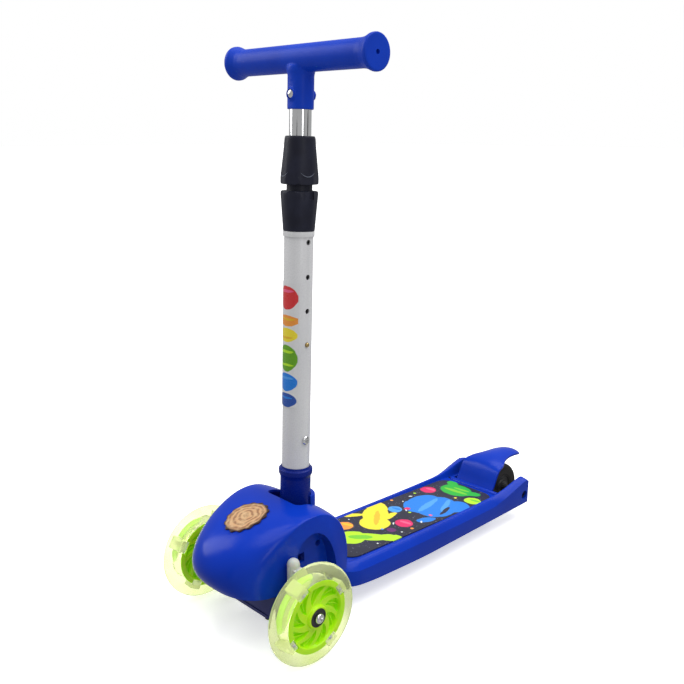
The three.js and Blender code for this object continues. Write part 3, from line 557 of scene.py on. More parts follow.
def deck_point(column, row, upper):
    y = deck_rows[row]
    half = DECK_HALF - corner_pull(y)
    last = 2 * (len(INSETS) - 1)
    side = -1 if column < last / 2 else 1
    inset = INSETS[min(column, last - column)]
    x = 0 if inset == 65 else side * (half - inset)
    if upper:
        return x, y, deck_height(x, y, half)
    return x * (1 - 0.006), y, under_height(y)


deck_shell = pushed_sheet("moulded_deck", 2 * (len(INSETS) - 1), 100, deck_point)
edit(deck_shell)
bpy.ops.mesh.select_mode(type="EDGE")
bpy.ops.mesh.edges_select_sharp(sharpness=math.radians(55))
leave_edit()
for edge in deck_shell.data.edges:
    a, b = (deck_shell.data.vertices[v].co for v in edge.vertices)
    rim = min(a.z, b.z) > 45 or abs(a.z - b.z) > 12
    edge.select = edge.select and not rim
bpy.ops.object.mode_set(mode="EDIT")
bpy.ops.mesh.bevel(offset=2.2, segments=4, affect="EDGES", clamp_overlap=True)
leave_edit()
print("deck shell", len(deck_shell.data.polygons), "faces before cutting")

# %% The pockets under the deck, the wheel slot and the bores
for y0, y1 in ((98, 124), (127, 182), (185, 240), (243, 298), (301, 356), (359, 424)):
    for x0, x1 in ((-58, -21.5), (-18.5, 18.5), (21.5, 58)):
        draw_in = 12 if y0 < 110 else 0
        x0, x1 = (x0 + (draw_in if x0 < -30 else 0), x1 - (draw_in if x1 > 30 else 0))
        cut(deck_shell, brick("pocket", (x0, x1), (y0, y1), (5, floor_height(y1) - 3), 2))
for side in (1, -1):
    cut(deck_shell, brick("arm_pocket", (side * 49, side * 61.2), (440, 470), (5, 42), 1.5))
    seat = aimed(peg("bolt_seat", 6.8, 57, 80), (side, 0, 0), REAR_AXLE)
    cut(deck_shell, seat)
wheel_slot = plate("wheel_slot", [(-45.5, 520), (-45.5, 441)]
                   + [(-40 - 5.5 * math.cos(math.radians(a)), 441 - 5.5 * math.sin(math.radians(a)))
                      for a in (22, 45, 68, 90)]
                   + [(40 + 5.5 * math.sin(math.radians(a)), 441 - 5.5 * math.cos(math.radians(a)))
                      for a in (0, 22, 45, 68, 90)] + [(45.5, 520)], 0, 120)
cut(deck_shell, wheel_slot, aimed(peg("axle_bore", 4.3, -80, 80), ACROSS, REAR_AXLE),
    aimed(peg("hinge_bore", 2.8, -51, 51), ACROSS, FENDER_HINGE))
tray = plate("steering_tray", eased([(-46, 96), (-46, 30), (-39.5, -12), (39.5, -12), (46, 30),
                                     (46, 96)], 4),
             29, 58)
cut(tray, brick("tray_room", (-42, 42), (-8, 91), (33, 90), 1.5),
    brick("arm_room_front", (-60, 60), (-13, 13), (33, 90)),
    brick("arm_room_rear", (-60, 60), (25, 48), (40, 90)))
for x, y in ((-34, -6), (34, -6), (-34, 80), (34, 80)):
    cut(tray, settle(peg("screw_bore", 2.8, 20, 40), Matrix.Translation((x, y, 0))))
print("deck shell", len(deck_shell.data.polygons), "faces")


# %% [markdown]
# A finished piece is smoothed by angle so that its moulded edges stay crisp, given its finish
# and attached to the body it rides on, and the CAD nodes it stands for are hidden. That is the
# same for every piece, so it is one helper.

# %% Handing a piece over to the scooter
def hand_over(piece, place, body, slot, finish, *stands_for, angle=32):
    settle(piece, place)
    edit(piece)
    bpy.ops.mesh.remove_doubles(threshold=2e-6)
    leave_edit()
    bpy.ops.object.shade_smooth_by_angle(angle=math.radians(angle))
    piece.data.materials.clear()
    piece.data.materials.append(finish)
    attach(piece, body)
    if stands_for:
        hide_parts(*stands_for)
    print(piece.name, len(piece.data.polygons), "faces, rides", body)
    return piece


hand_over(deck_shell, ON_DECK, "deck", "gloss_blue", gloss_blue, "deck_shell")
# The tray's navy is the chassis's own colour, and it is kept dark as painted shade under the cowl.
hand_over(tray, ON_DECK, "deck", "navy_plastic", navy_plastic)

# %% [markdown]
# ## The printed mat
#
# The mat is a thin film set into the deck, dark navy with playful blobs, comets and dots. Its
# outline is a rounded rectangle that tapers nowhere, laid on the slope of the deck. The
# artwork is printed by the material, ellipse over ellipse, like cut paper.

# %% The mat's film
def rounded_rectangle(half, low, high, radius, steps=10):
    corners = [(half - radius, high - radius, 0), (-half + radius, high - radius, 90),
               (-half + radius, low + radius, 180), (half - radius, low + radius, 270)]
    return [(cx + radius * math.cos(math.radians(start + 90 * i / steps)),
             cy + radius * math.sin(math.radians(start + 90 * i / steps)))
            for cx, cy, start in corners for i in range(steps + 1)]


deck_mat = plate("printed_mat", rounded_rectangle(48.5, 115, 429, 20), 0.3, 1.5)
edit(deck_mat)
for y in range(120, 429, 12):
    bpy.ops.mesh.select_all(action="SELECT")
    bpy.ops.mesh.bisect(plane_co=(0, y, 0), plane_no=(0, 1, 0))
leave_edit()
for vertex in deck_mat.data.vertices:
    vertex.co.z += floor_height(vertex.co.y)

# %% The mat's artwork
MAT_ARTWORK = [
    # ink, centre across and along (mm), half sizes (mm), turn (degrees)
    ("lime", (5.5, 162), (18, 20), 0), ("lime", (20, 182), (10, 26), -47),
    ("lime", (38, 200), (10, 14), -47), ("lime", (45, 206), (9.5, 9.5), 0),
    ("leaf", (12, 172), (6, 17), -42), ("orange", (-27, 180), (11.5, 13), 0),
    ("amber", (-27, 186), (8, 3), 20), ("yellow", (-6, 219), (21, 22), 0),
    ("yellow", (-24, 240), (19, 28), 40), ("yellow", (-38, 258), (15, 24), 50),
    ("yellow", (-8, 254), (5, 14), 12), ("yellow", (-44, 214), (5, 16), -30),
    ("amber", (-16, 234), (4, 24), 40), ("plum", (24, 220), (6.5, 6.5), 0),
    ("magenta", (21, 250), (12.5, 12.5), 0), ("rose", (21, 253), (9, 3), 12),
    ("sky", (-19, 276), (10.5, 10.5), 0), ("azure", (-19, 279), (7, 3), 20),
    ("azure", (14, 330), (30, 38), 20), ("azure", (33, 352), (18, 22), 0),
    ("azure", (-14, 334), (16, 26), -10), ("azure", (-6, 306), (22, 17), -30),
    ("azure", (34, 283), (7, 15), -20), ("sky", (2, 326), (5, 30), 12),
    ("sky", (20, 344), (4, 24), 24), ("navy", (32, 328), (3, 16), 16),
    ("magenta", (-9, 291), (4, 5), 0), ("lime", (36, 389), (12, 12), 0),
    ("leaf", (38, 392), (8, 3), 15), ("green", (-6, 403), (25, 21), 0),
    ("green", (20, 410), (12, 8), 30), ("green", (-26, 420), (12, 8), -30),
    ("leaf", (-4, 400), (20, 4), 8), ("leaf", (-2, 411), (14, 3), 8),
    ("magenta", (-35, 371), (12, 12), 0), ("rose", (-34, 375), (8, 3), 12),
    ("pale", (12, 238), (1.3, 4), 40), ("pale", (-6, 286), (1.2, 3), 60),
    ("pale", (-30, 306), (1.4, 1.4), 0), ("pale", (38, 226), (1.5, 1.5), 0),
    ("pale", (34, 272), (1.2, 3), 30), ("pale", (-36, 330), (1.4, 3), -20),
    ("pale", (40, 176), (1.5, 1.5), 0), ("pale", (-38, 200), (1.3, 1.3), 0),
    ("rose", (28, 300), (2.4, 2.4), 0), ("orange", (40, 246), (2.5, 2.5), 0),
    ("lime", (2, 284), (2, 2), 0), ("orange", (-44, 296), (2.6, 2.6), 0),
    ("lime", (-40, 344), (2.2, 2.2), 0), ("sky", (14, 212), (2.2, 2.2), 0),
    ("yellow", (12, 378), (2.4, 2.4), 0),
]
INKS = {
    "lime": (0.50, 0.86, 0.02), "leaf": (0.20, 0.62, 0.03), "pale": (0.75, 0.80, 0.78),
    "orange": (0.92, 0.33, 0.05), "amber": (0.86, 0.52, 0.03), "yellow": (0.94, 0.78, 0.04),
    "plum": (0.13, 0.02, 0.14), "magenta": (0.74, 0.02, 0.14), "rose": (0.90, 0.12, 0.26),
    "sky": (0.08, 0.36, 0.88), "azure": (0.012, 0.22, 0.78), "navy": (0.018, 0.020, 0.05),
    "green": (0.02, 0.46, 0.04), "red": (0.72, 0.035, 0.04), "deep": (0.02, 0.09, 0.42),
}
mat_print, tree, shader, coords = new_finish("mat_print")
drawn = wobbled(tree, coords, 0.004, 90)
speck = noise(tree, coords, 420, 2)
colour = blended(tree, ranged(tree, noise(tree, coords, 30), 0, 1), (0.012, 0.013, 0.032),
                 (0.020, 0.020, 0.045))
colour = blended(tree, ranged(tree, speck, 0, 1, 0.68, 0.70), colour, (0.25, 0.27, 0.36))
for ink, (x, y), (across, along), turn in MAT_ARTWORK:
    colour = spot(tree, drawn, colour, INKS[ink], (x / 1000, AXLE_Y + y / 1000, 0),
                  (across / 1000, along / 1000), turn)
fine = noise(tree, coords, 1500, 3)
dressed(tree, shader, colour, fine, (0.38, 0.5), 0.25, 0.0002)
hand_over(deck_mat, ON_DECK, "deck", "mat_print", mat_print, "deck_mat")

# %% [markdown]
# ## The front cowl
#
# The blue dome hides the steering. Seen from the side it is a full round with a flat face,
# and from above it bulges forwards at its middle. A sphere can't give both, so a grid is
# wrapped into slices, each a superellipse that grows from the side face to the middle, and
# the ends are filled. The shoulder is then bevelled and the arches are cut by plates.

# %% The wrapped form
COWL_HALF = 62


def cowl_slice_point(x, angle, offset):
    reach = min(1, abs(x) / COWL_HALF)
    k = max(0, 1 - reach ** 2.1) ** (1 / 2.1)
    power = 2.2 + (1.95 - 2.2) * k
    forward, back = 56 + (115.3 - 56) * k + offset, 56 + (62 - 56) * k + offset
    height = 70 + (55.2 - 70) * k + offset
    a, b = math.sin(angle), math.cos(angle)
    along = math.copysign(abs(a) ** (2 / power), a)
    up = math.copysign(abs(b) ** (2 / power), b)
    y = 40 + 1.6 * k + (forward if along < 0 else back) * along
    return x, y, 80 + 17.6 * k + height * up


def cowl_form(name, offset, half, around=144, across=48):
    piece = fresh(name, bpy.ops.mesh.primitive_grid_add, x_subdivisions=around,
                  y_subdivisions=across, size=2)
    for vertex in piece.data.vertices:
        angle = (vertex.co.x + 1) * math.pi
        station = math.sin(vertex.co.y * math.pi / 2) * half
        x, y, z = cowl_slice_point(station, angle, offset)
        vertex.co = (x * (1 + offset / COWL_HALF), y, z)
    edit(piece)
    bpy.ops.mesh.remove_doubles(threshold=1e-3)
    return capped(piece)


# %% The cowl: bevelled, hollowed and cut
front_cowl = cowl_form("front_dome", 0, COWL_HALF)
apply_modifier(front_cowl, "BEVEL", width=3.4, segments=5, limit_method="ANGLE",
               angle_limit=math.radians(40))
cut(front_cowl, cowl_form("dome_room", -3, 43, 96, 24))
below = plate("below_rim", [(-200, -200), (200, -200), (200, 76 - 270 * 0.085),
                            (-200, 76 + 130 * 0.085)],
              -100, 100)
turn_across = Matrix(((0, 0, 1, 0), (1, 0, 0, 0), (0, 1, 0, 0), (0, 0, 0, 1)))
cut(front_cowl, settle(below, turn_across))
for low, high in ((46, 90), (-90, -46)):
    arch = plate("arch", [(40 + 39 * math.cos(a), 60 + 69 * math.sin(a))
                          for a in (math.tau * i / 72 for i in range(72))], low, high)
    cut(front_cowl, settle(arch, turn_across))
cut(front_cowl, plate("column_slot", rounded_rectangle(30, 44, 96, 8), 100, 200))
for side in (1, -1):
    cut(front_cowl, aimed(peg("round_window", 4, 40, 60), (side, 0, 0), (0, 62, 104)),
        brick("square_window", (side * 40, side * 60), (30, 40), (88, 100), 1))
cut(front_cowl, brick("post_room", (-15, 15), (76, 88.8), (50, 82)))
deck_room = pushed_sheet("deck_room", 2 * (len(INSETS) - 1), 100, deck_point)
cut(front_cowl, settle(deck_room, Matrix.Translation((0, -0.3, 0.3))))
hand_over(front_cowl, ON_DECK, "deck", "gloss_blue", gloss_blue, "front_cowl", angle=38)

# %% [markdown]
# ## The badge on the cowl
#
# A thin domed oval like a slice of wood, with a scalloped dark bark edge. It is cut from a
# slightly larger copy of the cowl's own form, so that it lies on the dome exactly. Rings of
# growth are printed about its centre.

# %% The badge
badge = cowl_form("wood_slice_badge", 1.7, 44, 192, 60)
badge_at = Vector((0, -9, 145.6))
BADGE_STRETCH = 1.24
badge_up = Vector((0, -math.sin(0.225), math.cos(0.225)))
scallops = [((22.8 + math.cos(14 * a)) * math.cos(a),
             BADGE_STRETCH * (22.8 + math.cos(14 * a)) * math.sin(a))
            for a in (math.tau * i / 168 for i in range(168))]
combined(badge, aimed(plate("badge_cutter", scallops, -20, 20), badge_up, badge_at), "INTERSECT")
cut(badge, cowl_form("dome_skin", 0.3, 50, 192, 60))
wood_print, tree, shader, coords = new_finish("wood_print")
centred = tree.nodes.new("ShaderNodeMapping")
centred.inputs["Location"].default_value = (0, -(AXLE_Y + badge_at.y / 1000) / BADGE_STRETCH,
                                          -badge_at.z / 1000 / BADGE_STRETCH)
centred.inputs["Scale"].default_value = (1, 1 / BADGE_STRETCH, 1 / BADGE_STRETCH)
tree.links.new(wobbled(tree, coords, 0.010, 60), centred.inputs["Vector"])
reach = vector_maths(tree, "LENGTH", centred.outputs["Vector"])
rings = tree.nodes.new("ShaderNodeTexWave")
rings.wave_type = "RINGS"
rings.rings_direction = "SPHERICAL"
rings.inputs["Scale"].default_value = 60
rings.inputs["Distortion"].default_value = 3.5
rings.inputs["Detail"].default_value = 3
tree.links.new(centred.outputs["Vector"], rings.inputs["Vector"])
grain = noise(tree, coords, 160, 4)
colour = blended(tree, ranged(tree, rings.outputs["Fac"], 0, 0.8, 0.2, 0.8), (0.62, 0.36, 0.18),
                 (0.24, 0.10, 0.045))
colour = blended(tree, ranged(tree, grain, 0, 0.9, 0.45, 0.7), colour, (0.66, 0.45, 0.24))
colour = blended(tree, ranged(tree, reach, 0, 1, 0.0195, 0.0220), colour,
                 (0.045, 0.016, 0.008))
dressed(tree, shader, colour, grain, (0.28, 0.42), 0.2, 0.0003)
hand_over(badge, ON_DECK, "deck", "wood_print", wood_print, "cowl_badge", angle=40)

# %% [markdown]
# ## The front wheels
#
# Each wheel is a lime core with nine swirling teardrop pockets, a clear tyre cast round it, and
# light pods buried in the rim. All of it turns about one axle, so it is drawn once as
# outlines on a bench whose +Z is the axle, and placed twice, facing outwards on both sides.

# %% The clear tyre
TYRE = [(43.3, 10), (47, 11.4), (50, 11.7), (53.5, 10.8), (56.6, 8.7), (58.8, 5.6), (59.8, 2.6),
        (60, 0)]
tyre_outline = TYRE + [(r, -h) for r, h in reversed(TYRE[:-1])]


def clear_wheel_tyre(name):
    return turned(name, tyre_outline, 144, 0.8, 3)


# %% The lime core
FIRST_POD = 30


def polar(radius, degrees):
    return radius * math.cos(math.radians(degrees)), radius * math.sin(math.radians(degrees))


def swirl():
    """One teardrop that trails round the hub: a point near it, a round end near the rim."""
    steps = [i / 16 for i in range(17)]
    widths = [1.4 + 13.4 * math.sin(math.pi / 2 * t ** 0.85) for t in steps]
    lead = [polar(16.6 + 17.6 * t, -30 * t + w) for t, w in zip(steps, widths)]
    trail = [polar(16.6 + 17.6 * t, -30 * t - w) for t, w in zip(steps, widths)]
    return lead + [polar(35.4, -19), polar(35.9, -30), polar(35.4, -41)] + trail[::-1]


def lime_wheel_core(name):
    core = turned(name, [(0, 11.3), (13.2, 11.3), (14.2, 7.4), (35.0, 6.6), (36.4, 10.0),
                         (43, 10.0),
                         (43, -10.0), (36.4, -10.0), (35.0, -6.6), (14.2, -7.4), (13.2, -11.3),
                         (0, -11.3)], 144, 0.9, 4)
    for low, high in ((1.1, 20), (-20, -1.1)):
        cut(core, repeated(plate("swirl_pocket", swirl(), low, high), 9))
    for low, high in ((4.2, 20), (-20, -4.2)):
        cut(core, peg("bearing_seat", 11.3, low, high, 72))
    cut(core, peg("core_bore", 9.2, -10, 10), turned("rim_groove",
                                                     [(39.8, -3.3), (50, -3.3), (50, 3.3),
                                                                   (39.8, 3.3)], 96, 0))
    notch = brick("pod_notch", (36.7, 50), (-8.2, 8.2), (-20, 20))
    notches = repeated(settle(notch, turn_z(FIRST_POD)), 4)
    cut(core, notches)
    return core


def swirl_ridges(name):
    """A low rib down the middle of each pocket, as the mould leaves it."""
    middle = [polar(20 + 15 * t, -5.5 - 24 * t) for t in (i / 10 for i in range(11))]
    back = [polar(35 - 15 * t, -31.4 + 24 * t) for t in (i / 10 for i in range(11))]
    return repeated(plate(name, middle + back, -5.4, 5.4), 9)


# %% Light pods with their little lamps
def light_pods(name):
    pod = brick(name, (37.4, 48.5), (-7.6, 7.6), (-9.6, 9.6), 1.2)
    pods = repeated(settle(pod, turn_z(FIRST_POD)), 4)
    band = turned("pod_band", [(40.4, -2.8), (42.8, -2.8), (42.8, 2.8), (40.4, 2.8)], 96, 0.3)
    return fused(pods, band)


def lamps(name):
    lamp = turned(name, [(0, 10.5), (1.6, 10.2), (2.4, 9.2), (2.4, 6.4), (0, 6.4)], 24, 0.3)
    settle(lamp, turn_z(FIRST_POD) @ Matrix.Translation((40.2, 0, 0)))
    return repeated(lamp, 4)


# %% Bearings and the axle's head
def seal_bearing(name, low):
    """Steel rings outside and in, with a sunk rubber seal between them."""
    high = low + 7
    return turned(name, [(4.2, low), (6.2, low), (6.2, low + 0.5), (9.4, low + 0.5), (9.4, low),
                         (11, low),
                         (11, high), (9.4, high), (9.4, high - 0.5), (6.2, high - 0.5), (6.2, high),
                         (4.2, high)], 64, 0.2, 2)


def axle_with_head(name):
    axle = turned(name, [(0, -20), (3.8, -20), (3.8, 12.1), (6, 12.1), (6, 13.1), (5.5, 14.6),
                         (4.4, 15.5), (0, 15.5)], 64, 0.5, 3)
    return cut(axle, turned("hex_recess", [(0, 13.3), (2.4, 13.3), (2.4, 20), (0, 20)], 6, 0))


# %% Both front wheels
for side, name in ((1, "left"), (-1, "right")):
    bench = on_axle(side, WHEEL_X, AXLE_Y, AXLE_Z)
    wheel, knuckle = f"wheel_{name}", f"knuckle_{name}"
    inner, outer = ("2", "1") if side > 0 else ("1", "2")
    hand_over(clear_wheel_tyre(f"cast_tyre_{name}"), bench, wheel, "clear_tyre", clear_tyre,
              f"wheel_tyre_{name}", angle=50)
    hand_over(lime_wheel_core(f"swirl_core_{name}"), bench, wheel, "lime_plastic", lime_plastic,
              f"wheel_core_{name}")
    hand_over(swirl_ridges(f"swirl_ribs_{name}"), bench, wheel, "lime_plastic", lime_plastic)
    hand_over(light_pods(f"light_pods_{name}"), bench, wheel, "clear_plastic", clear_plastic,
              f"led_ring_{name}")
    hand_over(lamps(f"lamps_{name}"), bench, wheel, "nylon", nylon)
    hand_over(seal_bearing(f"outer_bearing_{name}", 4.5), bench, wheel, "bearing_seal",
              bearing_seal, f"wheel_bearing_{name}_{outer}")
    hand_over(seal_bearing(f"inner_bearing_{name}", -11.5), bench, wheel, "bearing_seal",
              bearing_seal, f"wheel_bearing_{name}_{inner}")
    hand_over(axle_with_head(f"axle_bolt_{name}"), bench, knuckle, "chrome", chrome,
              f"wheel_axle_{name}")

# %% [markdown]
# ## The mast
#
# A white powder-coated tube stands in the cowl, a chrome tube slides in it, and a dark twist
# clamp holds the two. All of these are lathe work, except for the holes, the clamp's
# softly faceted grip and its two raised smiles, which are cut or laid on afterwards.

# %% The white tube and its ring
SCREW_HEIGHT, BUTTON_HEIGHT, BOLT_HEIGHT, BAR_HEIGHT = 226, 344, 626.5, 665
outer_tube = turned("white_tube", [(15.5, 118.3), (17, 118.3), (17, 500), (15.5, 500)], 128, 0.4)
for height in (BUTTON_HEIGHT, 384, 424, 464):
    cut(outer_tube, aimed(peg("height_hole", 3.1, 5, 30), ACROSS, (0, 0, height)))
cut(outer_tube, aimed(peg("screw_hole", 2.8, 5, 30), ACROSS, (0, 0, SCREW_HEIGHT)))
hand_over(outer_tube, ON_MAST, "column", "white_paint", white_paint, "outer_tube")
tube_ring = turned("white_ring", [(17.3, 470), (18.3, 470), (18.3, 476), (17.3, 476)], 128, 0.4)
hand_over(tube_ring, ON_MAST, "column", "white_paint", white_paint, "tube_ring")

# %% The collar at its foot
collar = turned("flared_collar", [(17.3, 122), (18.8, 122), (18.8, 176), (19.4, 178.4),
                                  (20.8, 180.8),
                                  (20.8, 186.6), (18.4, 187.6), (17.9, 190.5), (17.3, 190.5)], 128,
                                  0.7)
collar_blue = made_finish("collar_blue", (0.002, 0.018, 0.25), (0.002, 0.013, 0.19), (0.22, 0.34),
                          24, 900, 0.1, Specular_IOR_Level=0.16)
hand_over(collar, ON_MAST, "column", "navy_plastic", collar_blue, "column_collar")

# %% The printed film on its front
film = turned("printed_film", [(17.3, 268), (17.62, 268), (17.62, 418), (17.3, 418)], 128, 0)
keep = plate("film_wedge", [(0, 0), (-60, -50.3), (60, -50.3)], 255, 430)
combined(film, keep, "INTERSECT")
DECAL_ARTWORK = [
    ("red", (0, 400), (13.6, 14), 0), ("rose", (0, 408), (9, 1.8), 0),
    ("orange", (0, 373), (15.5, 6.5), 0), ("amber", (0, 375), (11, 1.3), 0),
    ("yellow", (0, 356), (13.4, 8.5), 0), ("amber", (0, 353), (9, 1.4), 0),
    ("leafy", (0, 328), (13.6, 16), 0), ("lime", (0, 336), (9.5, 1.8), 0),
    ("lime", (0, 320), (10, 1.4), 0),
    ("azure", (0, 299), (13.6, 11), 0), ("sky", (0, 304), (10, 1.6), 0),
    ("deep", (0, 277), (13.2, 8.6), 0), ("azure", (0, 280), (9, 1.3), 0),
]
INKS["leafy"] = (0.14, 0.40, 0.012)
tube_print, tree, shader, coords = new_finish("tube_print")
drawn = wobbled(tree, coords, 0.002, 120)
fine = noise(tree, coords, 1200, 3)
colour = blended(tree, ranged(tree, fine, 0, 1), (0.80, 0.80, 0.81), (0.76, 0.765, 0.78))
for ink, (x, z), (across, up), turn in DECAL_ARTWORK:
    colour = spot(tree, drawn, colour, INKS[ink], (x / 1000, 0, z / 1000),
                  (across / 1000, up / 1000), turn, "Y")
dressed(tree, shader, colour, fine, (0.24, 0.34), 0.1, 0.0002)
hand_over(film, ON_MAST, "column", "tube_print", tube_print, "tube_decal", angle=50)

# %% The screw and the button in the tube's side
screw = turned("pan_head_screw", [(0, 5), (2.2, 5), (2.2, 17.3), (5.5, 17.3), (5.4, 18.6),
                                  (4.4, 19.6), (3, 19.9), (0, 19.9)], 48, 0.4)
for turn in (0, 90):
    slot_cutter = brick("cross_slot", (-2.4, 2.4), (-0.5, 0.5), (18.8, 22))
    cut(screw, settle(slot_cutter, turn_z(turn)))
hand_over(aimed(screw, ACROSS, (0, 0, SCREW_HEIGHT)), ON_MAST, "column", "chrome", chrome,
          "socket_screw")
button = turned("spring_button", [(0, 8), (4, 8), (4, 9.2), (2.7, 9.2), (2.7, 17.9), (2.1, 18.9),
                                  (1.1, 19.2), (0, 19.2)], 48, 0.3)
hand_over(aimed(button, ACROSS, (0, 0, BUTTON_HEIGHT)), ON_MAST, "snap_button", "brass", brass,
          "snap_button")

# %% The chrome tube and its bush
inner_tube = turned("chrome_tube", [(11, 310), (12.5, 310), (12.5, 654), (11, 654)], 128, 0.3)
cut(inner_tube, aimed(peg("button_hole", 3.1, 5, 30), ACROSS, (0, 0, BUTTON_HEIGHT)))
hand_over(inner_tube, ON_MAST, "inner_column", "chrome", chrome, "inner_tube")

# %% The clamp: soft facets and smiles
SMILE_STEPS = 24


def soft_facets(piece, reach, low, high):
    """Shaves a ring of eight shallow flats off a turned grip."""
    shave = brick("grip_flat", (reach, reach + 12), (-9, 9), (low, high), 1.6)
    return cut(piece, repeated(settle(shave, turn_z(22.5)), 8))


def smile(name, radius, height, dip, half_angle, thick):
    """A thin raised arc that dips in the middle, laid on the clamp's face."""
    piece = fresh(name, bpy.ops.mesh.primitive_circle_add, vertices=8, radius=thick)
    bpy.ops.object.mode_set(mode="EDIT")
    bpy.ops.mesh.select_all(action="SELECT")
    for _ in range(SMILE_STEPS):
        bpy.ops.mesh.extrude_region_move(TRANSFORM_OT_translate={"value": (0, 0, 1)})
    leave_edit()
    for vertex in piece.data.vertices:
        t = 2 * min(SMILE_STEPS, max(0, round(vertex.co.z))) / SMILE_STEPS - 1
        taper = 1 - 0.7 * abs(t) ** 3
        r, a = radius + vertex.co.x * taper * 0.6, math.radians(t * half_angle)
        up = height - dip * (1 - t * t) + vertex.co.y * taper
        vertex.co = (r * math.cos(a), r * math.sin(a), up)
    edit(piece)
    return capped(piece)


clamp_base = turned("clamp_foot", [(17.3, 476.4), (18.3, 476.4), (21.5, 517), (21.5, 519.8),
                                   (20.6, 521.5),
                                   (14.8, 521.5), (14.8, 565), (12.8, 565), (12.8, 503),
                                   (17.3, 503)],
                    128, 0.9, 4)
soft_facets(clamp_base, 20.6, 488, 530)
cut(clamp_base, brick("base_notch", (19, 30), (-3.4, 3.4), (512, 524), 0.8))
for turn in (0, 90):
    slit = brick("collet_slit", (-30, 30), (-0.8, 0.8), (536, 570))
    cut(clamp_base, settle(slit, turn_z(turn)))
hand_over(clamp_base, ON_MAST, "column", "clamp_navy", clamp_navy, "clamp_base", angle=28)
clamp_nut = turned("clamp_twist_grip", [(15.15, 528.8), (21, 528.8), (21.8, 530.4), (21.7, 537),
                                        (19.3, 560),
                                        (17.4, 579.5), (16.4, 582), (13, 582), (13, 566),
                                        (15.15, 566)],
                   128, 0.9, 4)
soft_facets(clamp_nut, 20.4, 520, 560)
ridges = []
for turn in (-15, 75, 165, 255):
    ridge = smile("nut_smile", 21.35, 542, 4.5, 24, 0.55)
    ridges.append(settle(ridge, turn_z(turn)))
pick(*ridges)
bpy.ops.object.join()
# The smiles are much lighter than the clamp: a painted highlight along each ridge.
smile_painted_highlight = made_finish("smile_painted_highlight", (0.16, 0.18, 0.24), (0.09, 0.10, 0.14), (0.35, 0.5), 60,
                          1600, 0.2)
hand_over(ridges[0], ON_MAST, "clamp_nut", "clamp_navy", smile_painted_highlight)
hand_over(clamp_nut, ON_MAST, "clamp_nut", "clamp_navy", clamp_navy, "clamp_nut", angle=28)

# %% [markdown]
# ## The handlebar
#
# Bar and stem are one moulding that flows together at the T. A turned bar and a rounded
# square stem are joined, and the join is then softened: a fine voxel remesh gives both one even
# skin, and a few rounds of smoothing leave the fillet a mould would have.

# %% The T-bar
BAR_HALF = 115.5
bar_end = [(0, BAR_HALF), (18.9, BAR_HALF), (19.3, BAR_HALF - 0.7), (19.3, BAR_HALF - 4.2),
           (17.6, BAR_HALF - 8.5), (16, BAR_HALF - 13.5), (15.3, BAR_HALF - 20)]
bar_outline = bar_end + [(r, -h) for r, h in reversed(bar_end)]
handlebar = settle(turned("t_bar", bar_outline, 96, 0.5), Matrix.Translation((0, 0, BAR_HEIGHT))
                   @ Matrix.Rotation(math.pi / 2, 4, "Y"))
stem = plate("stem", rounded_rectangle(14.2, -14.2, 14.2, 12.5), 610.5, BAR_HEIGHT)
fillet = turned("t_fillet", [(0, 640), (14.4, 640), (14.9, 647), (16, 652), (16, 657), (0, 657)],
                64, 1)
bolt_boss = aimed(turned("bolt_boss", [(0, 0), (6.6, 0), (6.6, 15.9), (6.1, 16.2), (0, 16.2)], 48,
                         0.3),
                  (0, -1, 0), (0, 0, BOLT_HEIGHT))
nut_boss = aimed(turned("nut_boss", [(0, 0), (6.2, 0), (6.2, 18), (0, 18)], 48, 0.3),
                 (0, 1, 0), (0, 0, BOLT_HEIGHT))
fused(handlebar, stem, fillet, bolt_boss, nut_boss)
apply_modifier(handlebar, "REMESH", mode="VOXEL", voxel_size=0.85)
apply_modifier(handlebar, "SMOOTH", factor=0.5, iterations=5)
cut(handlebar, peg("tube_socket", 12.8, 600, 654.3, 96))
cut(handlebar, aimed(peg("bolt_bore", 3.2, -30, 30), (0, 1, 0), (0, 0, BOLT_HEIGHT)),
    aimed(peg("head_seat", 5.3, 13.2, 30), (0, -1, 0), (0, 0, BOLT_HEIGHT)),
    aimed(peg("nut_seat", 5, 14.2, 30), (0, 1, 0), (0, 0, BOLT_HEIGHT)))
for side in (1, -1):
    cut(handlebar, aimed(peg("end_hole", 2.6, 85, 120), (side, 0, 0), (0, 0, BAR_HEIGHT)))
hand_over(handlebar, ON_MAST, "inner_column", "satin_blue", satin_blue, "handlebar", angle=45)

# %% Its bolt and nut
bolt = turned("handle_screw", [(0, -17.5), (2.9, -17.5), (2.9, 13.3), (4.9, 13.3), (4.8, 14.7),
                               (4, 15.7), (0, 16.2)], 48, 0.4)
cut(bolt, turned("bolt_hex", [(0, 14.9), (1.7, 14.9), (1.7, 20), (0, 20)], 6, 0))
hand_over(aimed(bolt, (0, -1, 0), (0, 0, BOLT_HEIGHT)), ON_MAST, "inner_column", "chrome", chrome,
          "handle_bolt")

# %% [markdown]
# ## The rear wheel and its brake
#
# The rear tyre is a wide solid roller between the deck's arms. Over it arches the fender, a
# springy tongue that the rider's heel presses down. It is a sheet whose height and width
# follow two curves, pushed through its thickness.

